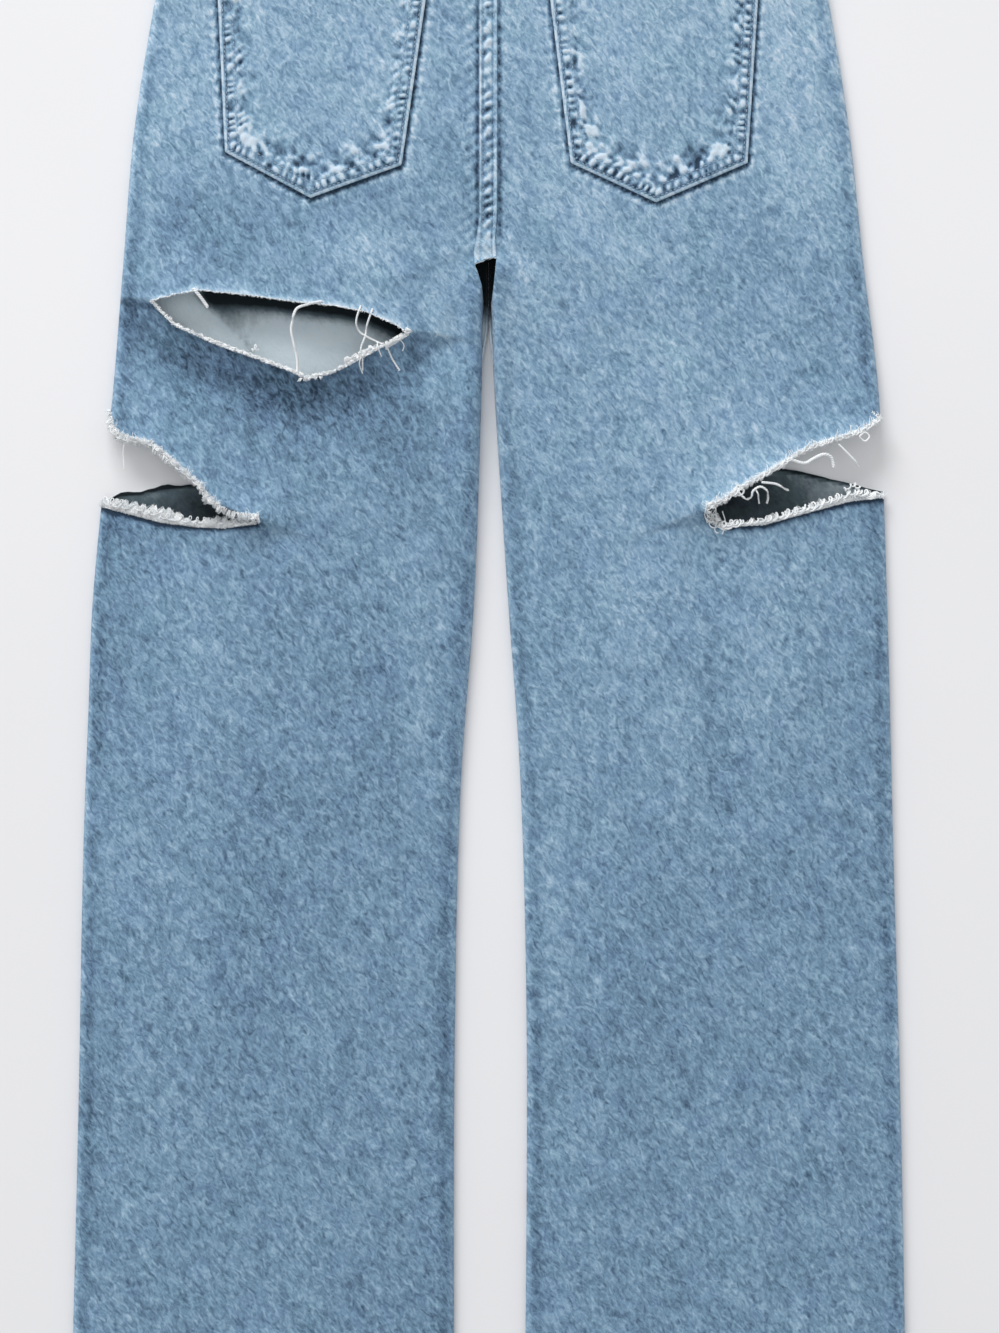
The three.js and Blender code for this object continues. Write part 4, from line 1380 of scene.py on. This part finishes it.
def curled(points, loop, pitch, radius, seed, rise=0.6, uneven=0.35):
    """A yarn that runs in loops along a route."""
    route, at = along_route(points, 0.45)
    ahead = unit(np.gradient(route, axis=0))
    turn = 2 * math.pi * at / pitch + 2.2 * noise(at, 0, 6, seed)
    size = (loop * (1 + uneven * noise(at, 0, 5, seed + 1)))[:, None]
    flat = route + size * (0.85 * ahead * np.cos(turn)[:, None] + aside(ahead) * np.sin(turn)[:, None])
    over = face_at(*route.T) + rise + 0.45 * loop * np.cos(turn + 0.8)
    return np.column_stack([flat, over])[None], radius


def web(name, edge, side, reach, seed):
    """The weft that is left of the cloth along a torn edge, as a thin pale band."""
    root, ahead, place = spaced(edge, 0.8)
    out = side * aside(ahead)
    share = np.linspace(-0.12, 1, 12)
    depth = share * (reach(root[:, 0]) * (1 + 0.3 * noise(place, 0, 3.2, seed)))[:, None]
    x, height = (root[:, None] + out[:, None] * depth[..., None]).transpose(2, 0, 1)
    lumps = 0.5 * noise(place[:, None], 0.5 * depth, 2.2, seed + 1)
    level = face_at(*root.T)[:, None] - 0.3 + lumps - 2 * share.clip(0, 1)
    return shell(name, (x, height, level), 1, 0, side < 0, [frayed] * 3, 0.7)


def left_side_fray():
    tall = through((-263, 7), (-249, 8.3), (-233, 9), (-222, 10.2), (-213, 8.6), (-203, 5), (-193, 5.2),
                   (-182, 8.4), (-170, 5.8), (-158, 4))
    bunch = [(-262, -158), (-240, -163), (-221, -168), (-197, -172), (-160, -173)]
    groups = fringes(
        0.24,
        (LEFT_UPPER, -1, 0.16, 2.6, always(3.2), 3.4, 0.9, -0.8, 901),
        (LEFT_UPPER, 1, 0.16, 1, always(2.6), 3.4, 1.3, 0.9, 902),
        (LEFT_LOWER, 1, 0.085, 0.8, tall, 6.4, 0.5, -0.6, 903, 0.2, 0.13),
        (LEFT_LOWER, 1, 0.25, 1.2, lambda x: 0.7 * tall(x), 3.2, 1.5, 0.8, 904, 0.4, 0.25),
        ([(-257, -97), (-252, -113)], -1, 0.2, 1.5, always(2.2), 3, 0.8, -1, 905),
        (LEFT_UPPER, 1, 1.3, 0, always(4.6), 3, 2.2, 0.6, 906),
    )
    groups += [
        curled(LEFT_UPPER, 1.0, 3.6, 0.34, 911),
        curled(LEFT_UPPER, 1.3, 5.2, 0.3, 912, 1.0),
        curled(bunch, 2.2, 6.5, 0.36, 913, 1.2),
        curled([(-176, -168), (-166, -171), (-155, -173)], 1.8, 3.4, 0.4, 914, 1.0),
        (strand([(-245, -116), (-246.5, -126), (-246, -138)], -0.5), 0.3),
    ]
    return tubes("left_side_fray", groups, frayed, 3)


def right_side_fray():
    tall = through((147, 3), (160, 4.5), (186, 5.2), (211, 6), (236, 6.5), (248, 8), (258, 5), (269, 3))
    groups = fringes(
        0.24,
        (RIGHT_UPPER, -1, 0.2, 2.4, always(2.4), 3.6, 1, -0.8, 921),
        (RIGHT_UPPER, 1, 0.4, 1, always(1.6), 3.6, 1.4, 0.8, 922),
        ([*RIGHT_CORNER, *RIGHT_LOWER], 1, 0.3, 0.8, lambda x: 0.8 * tall(x), 3.8, 1.3, 0.3, 923),
        ([(150, -160), (160, -178)], -1, 0.4, 1, always(5), 3, 2, 1, 924),
        ([(259, -99), (266, -106)], 1, 0.35, 0.5, always(2.2), 3, 1, -1, 925),
        (RIGHT_UPPER, 1, 1.4, 0, always(4.8), 3, 2.4, 0.6, 926),
    )
    rope = [
        (158, -176), (170, -174), (186, -172), (204, -167), (222, -162), (238, -156), (250, -153),
        (262, -156),
    ]
    groups += [
        curled(rope, 2.2, 6.2, 0.62, 931, 1.6),
        curled(rope, 1.9, 8.6, 0.58, 932, 1.1),
        curled(rope, 1.3, 4.6, 0.5, 933, 2.2),
        curled(RIGHT_UPPER, 1.2, 4.4, 0.36, 934, 0.9),
        curled(RIGHT_UPPER[2:], 0.9, 6.8, 0.34, 935, 1.2),
        curled([(240, -152), (247, -148), (252, -152), (247, -157)], 1.6, 4, 0.55, 936, 2),
        curled([(150, -162), (150, -172), (155, -180)], 1.9, 4.6, 0.42, 937, 1.1),
        (strand([(147, -162), (146, -168), (148, -174)]), 0.42),
        (strand([(153, -164), (154, -171), (153, -179)]), 0.42),
        (strand([(158, -166), (160, -174), (158, -182)]), 0.42),
        (strand([(258, -155), (263, -153), (268, -157)]), 0.7),
        (strand([(180, -152), (182, -156), (183, -161)], 0.4), 0.6),
        (strand([(236, -121), (240, -125), (245, -130), (251, -136)], 0.4), 0.75),
        (strand([(250, -116), (254, -113), (257, -116), (254, -119), (250, -116)], 1), 0.6),
    ]
    for radius, *route in (
        (0.8, (166, -151), (173, -158), (177, -157), (178, -153), (183, -150), (188, -153), (189, -157),
         (188, -161)),
        (0.85, (184, -147), (193, -148), (198, -150), (203, -152)),
        (1.15, (202, -131), (213, -134), (219, -131), (226, -128), (231, -130), (233, -137)),
        (0.6, (168, -149), (172, -153), (169, -156), (165, -153), (168, -149)),
    ):
        groups += plied(route, radius, 0.6)
    return tubes("right_side_fray", groups, frayed, 4)


def thigh_fray():
    groups = fringes(
        0.22,
        (THIGH_LOWER, 1, 0.2, 1.2, always(1.7), 2.6, 0.8, 0.5, 941),
        (THIGH_LOWER, -1, 0.5, 0.8, always(1.2), 2.6, 1, 0.5, 942),
        (THIGH_UPPER, -1, 0.8, 0.8, always(0.9), 3, 0.8, -0.4, 943),
        ([(-70, -56), (-60, -50), (-52, -44)], 1, 0.1, 1.6, always(2.6), 2.4, 1.4, 0.8, 944),
        ([(-96, -66), (-76, -56)], 1, 0.12, 1, always(2.6), 2.4, 1.2, 0.8, 945),
        ([(-128, -77), (-112, -75)], -1, 0.3, 1, always(2.2), 2.2, 1.2, 0.6, 946),
    )
    groups += [
        curled([(-66, -52), (-60, -48), (-54, -45)], 1.3, 3, 0.45, 951, 1.0),
        curled([(-160, -58), (-157, -55), (-156, -58)], 1.2, 2.6, 0.45, 952, 1.0),
        curled([(-94, -65), (-84, -60), (-75, -55)], 1.1, 3.6, 0.4, 953, 0.9),
        curled([(-227, -24), (-214, -38), (-196, -47)], 0.5, 4.8, 0.5, 954, 0.6),
        curled([(-196, -47), (-160, -60), (-134, -70), (-122, -75), (-106, -72)], 0.6, 5.2, 0.34,
               955, 0.5),
        (strand([(-75, -52), (-74, -57), (-72, -62)]), 0.5),
        (strand([(-86, -62), (-87, -67), (-85, -73)]), 0.5),
        (strand([(-60, -50), (-57, -54), (-58, -58)]), 0.4),
    ]
    for radius, *route in (
        (1.2, (-199, -16), (-194, -22), (-189, -29)),
        (0.95, (-112, -25), (-121, -27), (-129, -30), (-132, -38), (-133, -44), (-131, -54), (-129, -64),
         (-129, -74)),
        (0.7, (-86, -28), (-89, -39), (-87, -45), (-83, -48), (-75, -52), (-69, -55), (-65, -63),
         (-60, -71)),
        (0.7, (-78, -30), (-82, -42), (-83, -48), (-86, -57), (-85, -62), (-85, -71)),
    ):
        groups += plied(route, radius, 0.5)
    return tubes("thigh_rip_fray", groups, frayed, 4)


left_fray = joins(left_side_fray(), None)
right_fray = joins(right_side_fray(), None)
rip_fray = joins(thigh_fray(), None)
left_depth = through((-263, 3.5), (-219, 4.5), (-200, 3), (-183, 4.5), (-160, 2.5))
left_web = web("left_side_web", LEFT_LOWER, 1, left_depth, 961)
right_web = web("right_side_web", [RIGHT_CORNER[-1], *RIGHT_LOWER], 1, always(1.8), 965)
for piece in (left_web, right_web):
    joins(piece, None)


# ---- stage and light

paint = Graph("floor_paint", roughness=0.9)
whites = [(0.3, srgb(237, 237, 239)), (0.7, srgb(240, 240, 242))]
paint.colour(paint.ramp(paint.noise(paint.place, 3, 2.0), whites))
bpy.ops.mesh.primitive_plane_add(size=12, location=(0, 0, 0))
floor = bpy.context.object
floor.name = "floor"
floor.data.materials.append(paint.material)


# ---- the cloth as cut


def leg_cut(leg, foot, top):
    """Width, length and area of a leg's piece, without its turnings."""
    height = np.linspace(foot, top, 400)
    wide = leg.outer(height) - leg.inner(height)
    return wide.max(), top - foot, wide.mean() * (top - foot)


def outline_cut(outline):
    """The same of a piece with straight edges."""
    x, height = np.array(outline, float).T
    area = abs(x @ np.roll(height, 1) - height @ np.roll(x, 1)) / 2
    return np.ptp(x), np.ptp(height), area


def strip(wide, long, fill=1):
    """The same of a strip that fills this share of its rectangle."""
    return wide, long, fill * wide * long


def lay(piece, cut, rests_on, with_pieces=()):
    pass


BACK_TOP, FRONT_TOP = 237, 276  # mean heights of the two upper edges
FACING_WIDE, FACING_HIGH, FACING_FILL = 110, 92, 0.75
BAND_LONG, LOOP_LONG = 820, 52
with_back = {LEFT: [left_fray, rip_fray, left_web], RIGHT: [right_fray, right_web]}
for leg in LEGS:
    lay(fronts[leg], leg_cut(leg, -INSEAM, FRONT_TOP), [floor])
    lay(backs[leg], leg_cut(leg, -INSEAM, BACK_TOP), [fronts[leg]], with_back[leg])
    lay(yokes[leg], leg_cut(leg, BACK_TOP, BAND_FOOT), [facings[leg]])
    lay(pockets[leg], outline_cut(POCKETS[leg.side]), [backs[leg]], [pocket_rows[leg]])
    lay(facings[leg], strip(FACING_WIDE, FACING_HIGH, FACING_FILL), [fronts[leg]])
lay(fell, strip(FELL, BAND_FOOT - 3), list(backs.values()))
lay(band, strip(BAND_HEIGHT, BAND_LONG), [floor])
lay(tape, strip(2 * TAPE_HALF, FLY_TOP - FLY_FOOT), list(fronts.values()), [teeth])
lay(shield, strip(SHIELD[1] - SHIELD[0], FLY_TOP - SHIELD_FOOT), [tape])
for loop in loops:
    lay(loop, strip(LOOP_WIDE, LOOP_LONG), [band])

lamp = bpy.data.lights.new("key", "AREA")
lamp.shape = "RECTANGLE"
lamp.size, lamp.size_y = 3.6, 1.8
lamp.energy = 275
key = bpy.data.objects.new("key", lamp)
key.location = (-1.7, 5.0, 2.6)
key.rotation_euler = key.location.to_track_quat("Z", "Y").to_euler()
bpy.context.collection.objects.link(key)
world = bpy.data.worlds.new("studio")
world.use_nodes = True
world.node_tree.nodes["Background"].inputs["Color"].default_value = (0.985, 0.99, 1, 1)
world.node_tree.nodes["Background"].inputs["Strength"].default_value = 0.64
bpy.context.scene.world = world
bpy.context.scene.view_settings.view_transform = "Standard"
